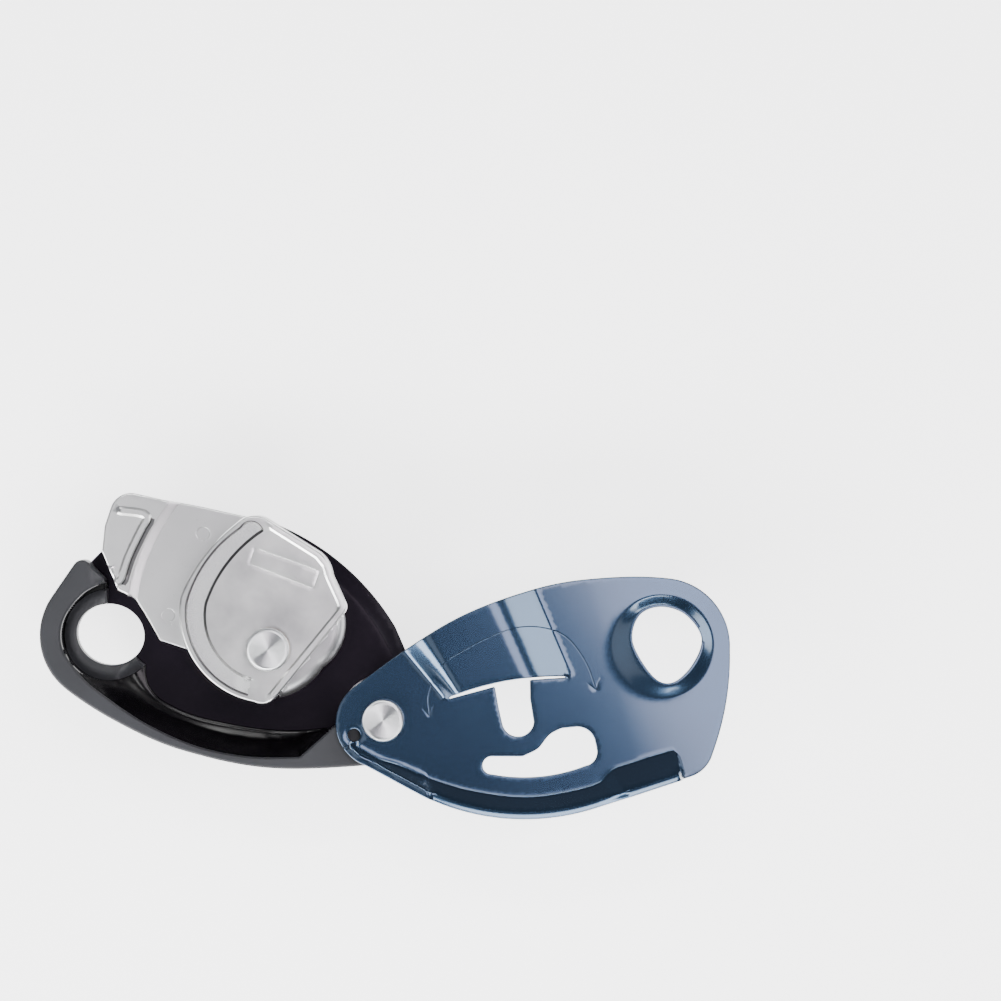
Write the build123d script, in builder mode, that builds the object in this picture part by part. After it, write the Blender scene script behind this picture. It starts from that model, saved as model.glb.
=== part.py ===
"""Assisted-braking belay device, lying on its back with the moving side plate swung open.

Millimetres. Origin on the axis of the carabiner hole, z = 0 on the inner face of the fixed side plate,
+X from the carabiner hole to the side plate's pivot, +Z towards the moving side plate.
"""
import os
from math import cos, radians, sin

from build123d import *

os.makedirs("parts", exist_ok=True)

# ---- driving dimensions ----
FIXED_THICK = 2.0
MOVING_Z = 13.5                 # underside of the moving side plate: the gap for the rope
MOVING_THICK = 1.8
PIVOT_X = 68.4                  # side plate pivot, on the X axis
AXLE = (37.4, 8.1)              # cam axle
OPEN_ANGLE = 148.0              # how far the moving side plate has swung from closed
NOSE_R = 16.2                   # plate edge round the carabiner hole
CAM_TRAVEL = 35.0               # from open to locked, clockwise
HANDLE_TRAVEL = 110.0           # until the handle's tab meets the locked cam's dog
RUNNING = 0.04                  # radial clearance of a running fit
GAP = 0.4                       # between parts that pass one another

AXLE_R = 4.0
AXLE_NECK_R = 3.3
AXLE_HEAD_R = 4.85
AXLE_HEAD_Z = 15.6
AXLE_HEAD_H = 1.8
RIVET_R = 3.0
RIVET_HEAD_R = 5.0

CAM_Z = 1.6
CAM_TOP_Z = 12.6
CAM_FLANGE_H = 2.2
BUSHING_R = 5.0
PIN_CIRCLE_R = 11.0             # dog, tab and stop pins all sit on this circle round the axle
PIN_R = 1.5
DOG_R = 1.75
DOG_ANGLE = 30.0
CAM_STOP_ANGLE = 100.0

FRAME_H = 13.0
FRICTION_THICK = 1.2
BRIDGE_RISE = 4.3               # lets the axle's head pass under
MOVING_FLARE = 5.4              # width of the bent edge beside the rope channel
FIXED_FLARE = 4.0
FLARE_RISE = 3.0

HANDLE_FRONT_Z = -5.8
HANDLE_ARM_THICK = 2.4
HANDLE_BACK_Z = -14.0
HANDLE_ANGLE = -8.0
HANDLE_REACH = 35.0
HANDLE_HUB_R = 13.0
HANDLE_TIP_R = 8.0
TAB_ARC = 8.0                   # middle line of the tab, in degrees round the axle
TAB_HALF_WIDTH = 1.3
TAB_ANGLE = DOG_ANGLE - CAM_TRAVEL - HANDLE_TRAVEL - 21.5
HANDLE_STOP_ANGLE = TAB_ANGLE - 20.0

FIXED_HOLE = (16.0, 14.4)       # carabiner hole of the fixed plate, an oval
LIP_WIDTH = 2.2                 # stepped lip of the frame round that hole
LIP_H = 5.0
COLLAR_R = (12.2, 9.0)          # foot and top of the raised collar round the moving plate's carabiner hole
COLLAR_RISE = 1.5
SLOT_END = (37.5, 8.3)          # centre of the round end of the slot that takes the axle's neck
SLOT_R = 3.75
SLIT_Y = -1.2                   # cut between the bridge and the flat of the plate
BRIDGE_END_Y = -24.0            # beyond the plate's belly
FRAME_SCREWS = [(-12.7, -3.6), (-9.3, 9.4), (58.6, -9.6)]
FRICTION_RIVETS = [(14.0, 29.5), (11.8, 8.4)]
COUNTERSINK_R = 2.5
SCREW_LENGTH = 10.0

BOSS_R = 9.4                    # frame round the pivot, under the wear plate
WEAR_THICK = 1.2
SPACER_R = 4.5
DETENT = (75.9, 1.6)
DETENT_R = 1.5


# ---- helpers ----
def round_axle(radius, angle):
    """Point on a circle round the cam axle."""
    return (AXLE[0] + radius * cos(radians(angle)), AXLE[1] + radius * sin(radians(angle)))


def round_pivot(radius, angle):
    """Point on a circle round the side plate's pivot."""
    return (PIVOT_X + radius * cos(radians(angle)), radius * sin(radians(angle)))


def round_hole(radius, angle):
    """Point on a circle round the carabiner hole."""
    return (radius * cos(radians(angle)), radius * sin(radians(angle)))


def arc_slot(radius, start, end, half_width, mode=Mode.ADD):
    """Slot with round ends whose middle line is a circle round the cam axle."""
    with BuildLine(mode=Mode.PRIVATE) as middle:
        ThreePointArc(round_axle(radius, start), round_axle(radius, (start + end) / 2), round_axle(radius, end))
    SlotArc(arc=middle.edge(), height=2 * half_width, mode=mode)


def bent_edge(bend, width, base, rise, thick):
    """Strip along the bend line that slopes away from it, outwards and by the rise."""
    start = bend @ 0
    along = bend % 0
    outward = Vector(0, 0, 1).cross(along)
    section_plane = Plane(origin=start, z_dir=along)
    low = Vector(0, 0, base)
    far = low + outward * width + Vector(0, 0, rise)
    up = Vector(0, 0, thick)
    corners = [start + low, start + far, start + far + up, start + low + up]
    with BuildSketch(section_plane) as section:
        with BuildLine():
            Polyline(*[section_plane.to_local_coords(corner) for corner in corners], close=True)
        make_face()
    sweep(sections=section.sketch, path=bend)


def save(part, name):
    part.label = name
    export_step(part, "parts/" + name + ".step")


# ---- edges of the two plates, drawn with the device closed ----
def lower_edge():
    """Edge both plates share: nose round the carabiner hole, belly and nose round the pivot."""
    nose = ThreePointArc(round_hole(NOSE_R, 162), round_hole(NOSE_R, 205), round_hole(NOSE_R, 248))
    belly = Spline(nose @ 1, (10, -19.4), (26, -20.9), (47, -18.6), (72.5, -9.6),
                   tangents=[(0.93, -0.37), (0.93, 0.37)])
    ThreePointArc(belly @ 1, (79.6, -1.5), (75.2, 9.2))


def moving_edge():
    lower_edge()
    Line((75.2, 9.2), (64.0, 19.6))
    ThreePointArc((64.0, 19.6), (46.5, 29.8), (25.3, 33.0))
    Line((25.3, 33.0), (2.0, 31.7))
    ThreePointArc((2.0, 31.7), (-2.4, 30.5), (-5.2, 27.6))
    ThreePointArc((-5.2, 27.6), (-10.8, 18.0), round_hole(NOSE_R, 162))


def fixed_edge():
    lower_edge()
    Line((75.2, 9.2), (64.5, 21.6))
    ThreePointArc((64.5, 21.6), (48.0, 32.2), (28.0, 36.9))
    Line((28.0, 36.9), (-3.6, 33.0))
    ThreePointArc((-3.6, 33.0), (-6.3, 31.5), (-7.2, 28.5))
    Line((-7.2, 28.5), (-7.6, 19.2))
    Line((-7.6, 19.2), round_hole(NOSE_R, 138))
    ThreePointArc(round_hole(NOSE_R, 138), round_hole(NOSE_R, 150), round_hole(NOSE_R, 162))


# ---- fixed side plate: flat, with the edge beside the cam bent back ----
with BuildLine() as fixed_bend:
    ThreePointArc((28.4, 32.9, 0), (46.7, 28.6, 0), (62.4, 18.4, 0))

with BuildPart() as fixed_side_plate:
    with BuildSketch(Plane.XY.offset(-FIXED_THICK)):
        with BuildLine():
            fixed_edge()
        make_face()
    extrude(amount=FIXED_THICK)
    with BuildSketch(Plane.XY.offset(-FIXED_THICK)):
        with BuildLine():
            add(fixed_bend.line)
            Polyline(fixed_bend.line @ 1, (75, 45), (28.4, 45), fixed_bend.line @ 0)
        make_face()
    extrude(amount=FIXED_THICK, mode=Mode.SUBTRACT)
    bent_edge(fixed_bend.line, FIXED_FLARE, -FIXED_THICK, -FLARE_RISE, FIXED_THICK)
    with BuildSketch(Plane.XY.offset(-FIXED_THICK)):
        Ellipse(FIXED_HOLE[0] / 2, FIXED_HOLE[1] / 2)
        with Locations(AXLE):
            Circle(AXLE_R)
        with Locations((PIVOT_X, 0)):
            Circle(RIVET_R)
        with Locations(round_axle(PIN_CIRCLE_R, CAM_STOP_ANGLE), round_axle(PIN_CIRCLE_R, HANDLE_STOP_ANGLE)):
            Circle(PIN_R)
        arc_slot(PIN_CIRCLE_R, DOG_ANGLE - CAM_TRAVEL, DOG_ANGLE, DOG_R + GAP)
    extrude(amount=FIXED_THICK, mode=Mode.SUBTRACT)
    with Locations(Plane((0, 0, -FIXED_THICK), x_dir=(1, 0, 0), z_dir=(0, 0, -1))):
        with Locations(*[(x, -y) for x, y in FRAME_SCREWS + FRICTION_RIVETS]):
            CounterSinkHole(radius=PIN_R, counter_sink_radius=COUNTERSINK_R, depth=FIXED_THICK)
save(fixed_side_plate.part, "fixed_side_plate")


# ---- nylon body frame: wall round the rope channel, boss round the pivot ----
FRAME_TIP_OUT = round_hole(18.6, 129)
FRAME_TIP_IN = round_hole(13.2, 112)
LIP_OUT_R = FIXED_HOLE[0] / 2 + LIP_WIDTH


def channel_edge(inset):
    """Inner edge of the frame's wall; the inset brings it further into the rope channel."""
    ring = ThreePointArc(round_hole(LIP_OUT_R, 112), round_hole(LIP_OUT_R, 180), round_hole(LIP_OUT_R, 262))
    wall = Spline(ring @ 1, (9, -14.9 + inset / 2), (24, -18.4 + inset), (40, -17.6 + inset), (52, -14.0 + inset),
                  tangents=[(0.98, -0.2), (0.95, 0.3)])
    corner = Line(wall @ 1, (57.6, -5.0))
    Line(corner @ 1, round_pivot(BOSS_R, 199))


with BuildPart() as body_frame:
    with BuildSketch():
        with BuildLine():
            lower_edge()
            Line((75.2, 9.2), round_pivot(BOSS_R, 75))
            ThreePointArc(round_pivot(BOSS_R, 75), round_pivot(BOSS_R, 140), round_pivot(BOSS_R, 199))
            channel_edge(0)
            Polyline(round_hole(LIP_OUT_R, 112), FRAME_TIP_IN, FRAME_TIP_OUT, round_hole(NOSE_R, 162))
        make_face()
    extrude(amount=FRAME_H)
    # foot of the wall, sloping into the channel
    with BuildSketch():
        with BuildLine():
            foot = Spline((2.5, -10.4), (12, -12.2), (26, -12.6), (40, -11.4), (54, -7.6))
            Line(foot @ 1, (52, -14.0))
            Spline((52, -14.0), (40, -17.6), (24, -18.4), (9, -14.9), (-1.4, -10.1))
            Line((-1.4, -10.1), foot @ 0)
        make_face()
    extrude(amount=2.4)
    # lip round the carabiner hole
    with BuildSketch():
        Circle(LIP_OUT_R + 0.1)
        with Locations((10.0, 8.5)):
            Rectangle(17, 22, rotation=-20, mode=Mode.SUBTRACT)
        Ellipse(FIXED_HOLE[0] / 2, FIXED_HOLE[1] / 2, mode=Mode.SUBTRACT)
    extrude(amount=LIP_H)
    with Locations((PIVOT_X, 0, 0)):
        Hole(radius=SPACER_R, depth=2 * FRAME_H)
    with BuildSketch(Plane.XY.offset(FRAME_H)):
        with Locations(DETENT):
            Circle(DETENT_R + 0.1)
    extrude(amount=-8.0, mode=Mode.SUBTRACT)
    with BuildSketch():
        with Locations(*FRAME_SCREWS):
            Circle(PIN_R)
    extrude(amount=SCREW_LENGTH - FIXED_THICK, mode=Mode.SUBTRACT)
save(body_frame.part, "body_frame")


# ---- moving side plate, drawn closed and then swung open ----
def band(inner, outer):
    """Corners of a plate's section across the raised bridge: inner gives its two feet, outer its shoulders."""
    rise = MOVING_Z + BRIDGE_RISE
    return [(inner[0], MOVING_Z), (outer[0], rise), (outer[1], rise), (inner[1], MOVING_Z),
            (inner[1], MOVING_Z + MOVING_THICK), (outer[1], rise + MOVING_THICK),
            (outer[0], rise + MOVING_THICK), (inner[0], MOVING_Z + MOVING_THICK)]


def window_edge():
    """Long window over the cam: a narrow tail that widens towards the carabiner hole."""
    ThreePointArc((46.6, 19.0), (48.4, 16.9), (46.0, 14.8))
    Line((46.0, 14.8), (38.6, 16.8))
    Spline((38.6, 16.8), (34.6, 15.9), (31.2, 13.5), (28.1, 12.7))
    Line((28.1, 12.7), (24.4, 13.3))
    ThreePointArc((24.4, 13.3), (22.2, 14.6), (21.1, 17.2))
    Line((21.1, 17.2), (21.2, 19.6))
    ThreePointArc((21.2, 19.6), (22.3, 21.9), (24.8, 22.7))
    ThreePointArc((24.8, 22.7), (35.8, 22.4), (46.6, 19.0))


def slot_edge():
    """Slot that lets the axle's neck in from the bridge: it widens slightly towards its mouth."""
    x, y = SLOT_END
    mouth_y = SLIT_Y - 0.6
    right = (x + SLOT_R, y)
    left = (x - SLOT_R * cos(radians(15)), y + SLOT_R * sin(radians(15)))
    Polyline(right, (40.6, SLIT_Y), (40.6, mouth_y), (32.2, mouth_y), (32.3, SLIT_Y), left)
    ThreePointArc(left, (x, y + SLOT_R), right)


with BuildPart() as bridge:
    for y, feet, shoulders in ((SLIT_Y, (22.7, 52.8), (31.8, 49.6)), (BRIDGE_END_Y, (25.9, 63.8), (35.5, 56.4))):
        section_plane = Plane(origin=(0, y, 0), x_dir=(1, 0, 0), z_dir=(0, -1, 0))
        with BuildSketch(section_plane):
            with BuildLine():
                Polyline(*band(feet, shoulders), close=True)
            make_face()
    loft(ruled=True)
    with BuildSketch(Plane.XY.offset(MOVING_Z)):
        with BuildLine():
            moving_edge()
        make_face()
    extrude(amount=BRIDGE_RISE + MOVING_THICK, mode=Mode.INTERSECT)

with BuildLine() as moving_bend:
    Line((3.0, 26.4, 0), (25.0, 27.6, 0))
    ThreePointArc((25.0, 27.6, 0), (44.3, 24.6, 0), (60.4, 15.6, 0))
    Line((60.4, 15.6, 0), (70.6, 6.1, 0))

with BuildPart() as closed_plate:
    with BuildSketch(Plane.XY.offset(MOVING_Z)):
        with BuildLine():
            moving_edge()
        make_face()
        with BuildLine():
            Polyline((22.7, SLIT_Y), (52.8, SLIT_Y), (63.8, BRIDGE_END_Y), (25.9, BRIDGE_END_Y), close=True)
        make_face(mode=Mode.SUBTRACT)
        with BuildLine():
            add(moving_bend.line)
            Polyline(moving_bend.line @ 1, (82, 40), (3.0, 40), moving_bend.line @ 0)
        make_face(mode=Mode.SUBTRACT)
    extrude(amount=MOVING_THICK)
    bent_edge(moving_bend.line, MOVING_FLARE, MOVING_Z, FLARE_RISE, MOVING_THICK)
    add(bridge.part)
    with BuildSketch(Plane.XY.offset(MOVING_Z)):
        with Locations((PIVOT_X, 0)):
            Circle(RIVET_R + RUNNING)
        with Locations(DETENT):
            Circle(DETENT_R)
        # slot that takes the neck of the axle, then the long window over the cam
        with BuildLine():
            slot_edge()
        make_face()
        with BuildLine():
            window_edge()
        make_face()
        Circle(COLLAR_R[0])
    extrude(amount=MOVING_THICK, mode=Mode.SUBTRACT)
    # raised collar, then the egg-shaped hole through it
    with BuildSketch(Plane.XZ):
        with BuildLine():
            foot_r, top_r = COLLAR_R
            collar_z = MOVING_Z + COLLAR_RISE
            Polyline((foot_r, MOVING_Z), (top_r, collar_z), (5, collar_z), (5, collar_z + MOVING_THICK),
                     (top_r, collar_z + MOVING_THICK), (foot_r, MOVING_Z + MOVING_THICK), close=True)
        make_face()
    revolve(axis=Axis.Z)
    with BuildSketch(Plane.XY.offset(MOVING_Z)):
        with BuildLine():
            Spline((6.4, -2.6), (3.4, -8.3), (-2.0, -9.1), (-7.2, -5.8), (-9.5, 0.6), (-5.6, 6.2), (0.0, 8.9),
                   (3.9, 6.2), periodic=True)
        make_face()
    extrude(amount=COLLAR_RISE + MOVING_THICK, mode=Mode.SUBTRACT)
moving_side_plate = closed_plate.part.rotate(Axis((PIVOT_X, 0, 0), (0, 0, 1)), -OPEN_ANGLE)
save(moving_side_plate, "moving_side_plate")


# ---- steel friction plate: raised tab, wall and floor under the rope ----
WALL_TOP = (2.8, 34.6)
WALL_FOOT = (0.9, 11.4)

with BuildPart() as friction_plate:
    with BuildSketch():
        with BuildLine():
            Line(WALL_TOP, (28.0, 36.6))
            Line((28.0, 36.6), round_axle(15.0, 115))
            ThreePointArc(round_axle(15.0, 115), round_axle(15.0, 160), round_axle(15.0, 205))
            Polyline(round_axle(15.0, 205), (11.6, 1.5), (7.6, 5.6), WALL_FOOT, WALL_TOP)
        make_face()
        with Locations(*FRICTION_RIVETS):
            Circle(PIN_R, mode=Mode.SUBTRACT)
    extrude(amount=FRICTION_THICK)
    with BuildSketch():
        with BuildLine():
            Polyline(WALL_TOP, WALL_FOOT, (-0.4, 11.2), (1.6, 34.5), close=True)
        make_face()
    extrude(amount=FRAME_H)
    with BuildSketch(Plane.XY.offset(FRAME_H - FRICTION_THICK)):
        with BuildLine():
            Line(WALL_TOP, WALL_FOOT)
            Polyline(WALL_FOOT, (-0.8, 10.8), (-3.6, 14.4), (-7.2, 18.4), (-8.5, 24.5), (-8.4, 29.0))
            ThreePointArc((-8.4, 29.0), (-7.2, 32.6), (-3.8, 34.2))
            Line((-3.8, 34.2), WALL_TOP)
        make_face()
    extrude(amount=FRICTION_THICK)
save(friction_plate.part, "friction_plate")


# ---- wear plate round the boss, facing the cam's nose ----
WEAR_ANGLES = (118, 154, 190)

with BuildPart() as wear_plate:
    with BuildSketch(Plane.XY.offset(0.3)):
        with BuildLine():
            inner = ThreePointArc(*[round_pivot(BOSS_R, a) for a in WEAR_ANGLES])
            outer = ThreePointArc(*[round_pivot(BOSS_R + WEAR_THICK, a) for a in WEAR_ANGLES])
            Line(inner @ 0, outer @ 0)
            Line(inner @ 1, outer @ 1)
        make_face()
    extrude(amount=FRAME_H - 0.6)
save(wear_plate.part, "wear_plate")


# ---- cam: flange with a recessed band, body with the rope groove, nose ----
def cam_flange_edge():
    ThreePointArc((38.0, -5.0), (19.8, 1.4), (13.7, 14.0))
    ThreePointArc((13.7, 14.0), (16.0, 24.2), (21.4, 34.6))
    ThreePointArc((21.4, 34.6), (24.6, 37.4), (28.6, 37.4))
    Line((28.6, 37.4), (42.4, 33.7))
    ThreePointArc((42.4, 33.7), (45.0, 32.0), (46.8, 29.4))
    Line((46.8, 29.4), (51.4, 24.2))
    ThreePointArc((51.4, 24.2), (52.2, 22.8), (52.0, 21.2))
    Line((52.0, 21.2), (42.3, -2.6))
    ThreePointArc((42.3, -2.6), (40.9, -4.4), (38.0, -5.0))


SPRING_RECESS = (6.0, 8.2)
SPRING_RECESS_H = 4.6
STOP_GROOVE_H = 3.0

with BuildPart() as cam:
    with BuildSketch(Plane.XY.offset(CAM_Z)):
        with BuildLine():
            cam_flange_edge()
        make_face()
        offset(amount=-1.8)
        with BuildLine():
            ThreePointArc((50.6, 23.4), (53.4, 15.8), (50.9, 7.4))
            ThreePointArc((50.9, 7.4), (48.4, 2.4), (43.0, -2.4))
            Line((43.0, -2.4), (50.6, 23.4))
        make_face()
    extrude(amount=CAM_TOP_Z - CAM_FLANGE_H - CAM_Z)
    with BuildSketch(Plane.XY.offset(CAM_TOP_Z - CAM_FLANGE_H)):
        with BuildLine():
            cam_flange_edge()
        make_face()
    extrude(amount=CAM_FLANGE_H)
    # shallow band that follows the rope round the cam, and the blank name panel
    with BuildSketch(Plane.XY.offset(CAM_TOP_Z)):
        with BuildLine():
            outer = ThreePointArc((35.0, -3.7), (20.6, 2.6), (15.6, 13.0))
            side = ThreePointArc(outer @ 1, (17.4, 25.0), (22.6, 33.8))
            cap = ThreePointArc(side @ 1, (24.9, 35.7), (27.6, 34.4))
            inner = ThreePointArc(cap @ 1, (21.7, 24.4), (19.8, 14.4))
            back = ThreePointArc(inner @ 1, (24.4, 4.8), (35.0, 0.3))
            Line(back @ 1, outer @ 0)
        make_face()
        with Locations((35.4, 27.6)):
            Rectangle(15.6, 4.4, rotation=-3)
    extrude(amount=-0.5, mode=Mode.SUBTRACT)
    with BuildSketch(Plane.XY.offset(CAM_Z)):
        with Locations(AXLE):
            Circle(BUSHING_R)
    extrude(amount=CAM_TOP_Z - CAM_Z, mode=Mode.SUBTRACT)
    with BuildSketch(Plane.XY.offset(CAM_Z)):
        with Locations(AXLE):
            Circle(SPRING_RECESS[1])
            Circle(SPRING_RECESS[0], mode=Mode.SUBTRACT)
    extrude(amount=SPRING_RECESS_H, mode=Mode.SUBTRACT)
    with BuildSketch(Plane.XY.offset(CAM_Z)):
        arc_slot(PIN_CIRCLE_R, CAM_STOP_ANGLE, CAM_STOP_ANGLE + CAM_TRAVEL, PIN_R + 0.3)
    extrude(amount=STOP_GROOVE_H, mode=Mode.SUBTRACT)
    with BuildSketch(Plane.XY.offset(CAM_Z)):
        with Locations(round_axle(PIN_CIRCLE_R, DOG_ANGLE)):
            Circle(DOG_R)
    extrude(amount=5.0, mode=Mode.SUBTRACT)
save(cam.part, "cam")


# ---- turned parts on the cam axle ----
def ring(centre, outer_r, inner_r, low, high):
    """Plain ring or tube on an axis along Z."""
    with BuildPart() as made:
        with BuildSketch(Plane.XY.offset(low)):
            with Locations(centre):
                Circle(outer_r)
                Circle(inner_r, mode=Mode.SUBTRACT)
        extrude(amount=high - low)
    return made.part


def rod(centre, radius, low, high):
    """Plain round bar on an axis along Z."""
    with BuildPart() as made:
        with BuildSketch(Plane.XY.offset(low)):
            with Locations(centre):
                Circle(radius)
        extrude(amount=high - low)
    return made.part


AXLE_WASHER_Z = (-12.0, -11.5)
AXLE_SHOULDER_Z = 13.2
CLIP_Z = (12.7, 13.15)
CLIP_R = 3.4

with BuildPart() as cam_axle:
    add(rod(AXLE, AXLE_R, AXLE_WASHER_Z[0], AXLE_SHOULDER_Z))
    add(rod(AXLE, AXLE_NECK_R, AXLE_SHOULDER_Z, AXLE_HEAD_Z))
    add(rod(AXLE, AXLE_HEAD_R, AXLE_HEAD_Z, AXLE_HEAD_Z + AXLE_HEAD_H))
    chamfer(cam_axle.edges().group_by(Axis.Z)[-1], length=0.4)
    add(rod(AXLE, 5.2, AXLE_WASHER_Z[0] - 1.6, AXLE_WASHER_Z[0]))
    add(ring(AXLE, AXLE_R + 1, CLIP_R, *CLIP_Z), mode=Mode.SUBTRACT)
save(cam_axle.part, "cam_axle")

save(ring(AXLE, BUSHING_R, AXLE_R + RUNNING, CAM_Z, CAM_TOP_Z), "cam_bushing")
save(ring(AXLE, 7.0, AXLE_R, 0.0, CAM_Z - 0.05), "cam_thrust_washer")
save(ring(AXLE, 6.4, AXLE_R, *AXLE_WASHER_Z), "axle_back_washer")

with BuildPart() as cam_retaining_clip:
    add(ring(AXLE, AXLE_HEAD_R, CLIP_R, *CLIP_Z))
    with BuildSketch(Plane.XY.offset(CLIP_Z[0])):
        with Locations(round_axle(AXLE_HEAD_R, 225)):
            Rectangle(4.0, 3.6, rotation=225)
    extrude(amount=1, mode=Mode.SUBTRACT)
save(cam_retaining_clip.part, "cam_retaining_clip")

save(rod(round_axle(PIN_CIRCLE_R, CAM_STOP_ANGLE), PIN_R, -FIXED_THICK, CAM_Z + STOP_GROOVE_H - GAP), "cam_stop_pin")
save(rod(round_axle(PIN_CIRCLE_R, DOG_ANGLE), DOG_R, -5.2, CAM_Z + 5.0), "cam_drive_dog")
save(rod(round_axle(PIN_CIRCLE_R, HANDLE_STOP_ANGLE), PIN_R, -5.2, 0), "handle_stop_pin")


def coil_spring(centre, mean_r, wire_r, low, pitch, turns):
    """Round wire wound about an axis along Z."""
    with BuildPart() as made:
        with BuildLine(mode=Mode.PRIVATE) as coil:
            Helix(pitch=pitch, height=pitch * turns, radius=mean_r, center=(*centre, low + wire_r))
        with BuildSketch(Plane(origin=coil.line @ 0, z_dir=coil.line % 0)) as wire:
            Circle(wire_r)
        sweep(sections=wire.sketch, path=coil.line, is_frenet=True)
    return made.part


save(coil_spring(AXLE, 7.1, 0.55, CAM_Z + 0.3, 1.22, 2.25), "cam_return_spring")


# ---- side plate pivot ----
SPACER_Z = (0.0, FRAME_H + 0.1)
PIVOT = (PIVOT_X, 0)
WAVE_WASHER_Z = (MOVING_Z + MOVING_THICK + 0.05, MOVING_Z + MOVING_THICK + 0.45)
RIVET_HEAD_H = 1.8

save(ring(PIVOT, SPACER_R, RIVET_R, *SPACER_Z), "pivot_spacer")
save(ring(PIVOT, 5.8, RIVET_R, SPACER_Z[1], MOVING_Z - 0.05), "pivot_thrust_washer")
save(ring(PIVOT, 4.7, RIVET_R, *WAVE_WASHER_Z), "pivot_wave_washer")

with BuildPart() as side_plate_rivet:
    add(rod(PIVOT, RIVET_R, -FIXED_THICK, WAVE_WASHER_Z[1]))
    add(rod(PIVOT, RIVET_HEAD_R, WAVE_WASHER_Z[1], WAVE_WASHER_Z[1] + RIVET_HEAD_H))
    chamfer(side_plate_rivet.edges().group_by(Axis.Z)[-1], length=0.4)
    add(rod(PIVOT, 4.6, -FIXED_THICK - 1.4, -FIXED_THICK))
save(side_plate_rivet.part, "side_plate_rivet")

with BuildPart() as detent_ball:
    with Locations((*DETENT, FRAME_H + 0.2 - DETENT_R)):
        Sphere(DETENT_R)
save(detent_ball.part, "detent_ball")
save(coil_spring(DETENT, 1.1, 0.22, FRAME_H - 7.9, 1.1, 4.0), "detent_spring")


# ---- fasteners between the plate, the frame and the friction plate ----
def countersunk(place, top):
    """Flush-headed fastener whose head is in the fixed plate's back."""
    neck = -FIXED_THICK + COUNTERSINK_R - PIN_R
    with BuildPart() as made:
        with BuildSketch(Plane.XZ):
            with BuildLine():
                Polyline((0, -FIXED_THICK), (COUNTERSINK_R, -FIXED_THICK), (PIN_R, neck), (PIN_R, top), (0, top),
                         close=True)
            make_face()
        revolve(axis=Axis.Z)
    return made.part.moved(Location((*place, 0)))


with BuildPart() as frame_screws:
    for place in FRAME_SCREWS:
        add(countersunk(place, SCREW_LENGTH - FIXED_THICK))
save(frame_screws.part, "frame_screws")

with BuildPart() as friction_plate_rivets:
    for place in FRICTION_RIVETS:
        add(countersunk(place, FRICTION_THICK))
save(friction_plate_rivets.part, "friction_plate_rivets")


# ---- handle on the back ----
HUB_BORE_R = 5.0
HUB_RECESS_R = 7.2
ARM_BACK_Z = HANDLE_FRONT_Z - HANDLE_ARM_THICK
HANDLE_RIVETS = (17.0, 27.0)
HANDLE_RIVET_R = 1.6
ARM_REACH = HANDLE_REACH - 4    # the steel arm ends short of the grip's tip
ARM_TIP_R = 4.5
GRIP_EDGE = 0.8                 # nylon beyond the arm's edge


def lever_outline(hub_r, reach, tip_r):
    """Hub round the axle and round tip, joined by straight sides."""
    with Locations(AXLE):
        Circle(hub_r)
    with Locations(round_axle(reach, HANDLE_ANGLE)):
        Circle(tip_r)
    make_hull()


with BuildPart() as handle_arm:
    with BuildSketch(Plane.XY.offset(ARM_BACK_Z)):
        lever_outline(HANDLE_HUB_R, ARM_REACH, ARM_TIP_R)
    extrude(amount=HANDLE_ARM_THICK)
    # tab that meets the cam's dog
    with BuildSketch(Plane.XY.offset(HANDLE_FRONT_Z)):
        arc_slot(PIN_CIRCLE_R, TAB_ANGLE - TAB_ARC / 2, TAB_ANGLE + TAB_ARC / 2, TAB_HALF_WIDTH)
    extrude(amount=3.2)
    with BuildSketch(Plane.XY.offset(ARM_BACK_Z)):
        with Locations(AXLE):
            Circle(HUB_BORE_R)
        with Locations(*[round_axle(reach, HANDLE_ANGLE) for reach in HANDLE_RIVETS]):
            Circle(HANDLE_RIVET_R)
    extrude(amount=HANDLE_ARM_THICK, mode=Mode.SUBTRACT)
save(handle_arm.part, "handle_arm")

with BuildPart() as handle_grip:
    with BuildSketch(Plane.XY.offset(HANDLE_BACK_Z)):
        lever_outline(HANDLE_HUB_R + GRIP_EDGE, HANDLE_REACH, HANDLE_TIP_R + GRIP_EDGE)
    extrude(amount=HANDLE_FRONT_Z - HANDLE_BACK_Z)
    fillet(handle_grip.edges().group_by(Axis.Z)[0], radius=2.0)
    with BuildSketch(Plane.XY.offset(ARM_BACK_Z)):
        lever_outline(HANDLE_HUB_R, ARM_REACH, ARM_TIP_R)
    extrude(amount=HANDLE_ARM_THICK, mode=Mode.SUBTRACT)
    with BuildSketch(Plane.XY.offset(HANDLE_BACK_Z)):
        with Locations(AXLE):
            Circle(HUB_RECESS_R)
    extrude(amount=AXLE_WASHER_Z[1] + 0.1 - HANDLE_BACK_Z, mode=Mode.SUBTRACT)
    with BuildSketch(Plane.XY.offset(HANDLE_BACK_Z)):
        with Locations(AXLE):
            Circle(HUB_BORE_R)
        with Locations(*[round_axle(reach, HANDLE_ANGLE) for reach in HANDLE_RIVETS]):
            Circle(HANDLE_RIVET_R)
    extrude(amount=ARM_BACK_Z - HANDLE_BACK_Z, mode=Mode.SUBTRACT)
save(handle_grip.part, "handle_grip")

with BuildPart() as handle_rivets:
    for reach in HANDLE_RIVETS:
        add(rod(round_axle(reach, HANDLE_ANGLE), HANDLE_RIVET_R, HANDLE_BACK_Z + 0.3, HANDLE_FRONT_Z))
save(handle_rivets.part, "handle_rivets")

save(ring(AXLE, HUB_BORE_R, AXLE_R + RUNNING, AXLE_WASHER_Z[1] + 0.1, -FIXED_THICK - 0.1), "handle_bushing")
save(coil_spring(AXLE, 6.6, 0.5, HANDLE_FRONT_Z + 0.1, 1.15, 1.9), "handle_return_spring")
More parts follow.
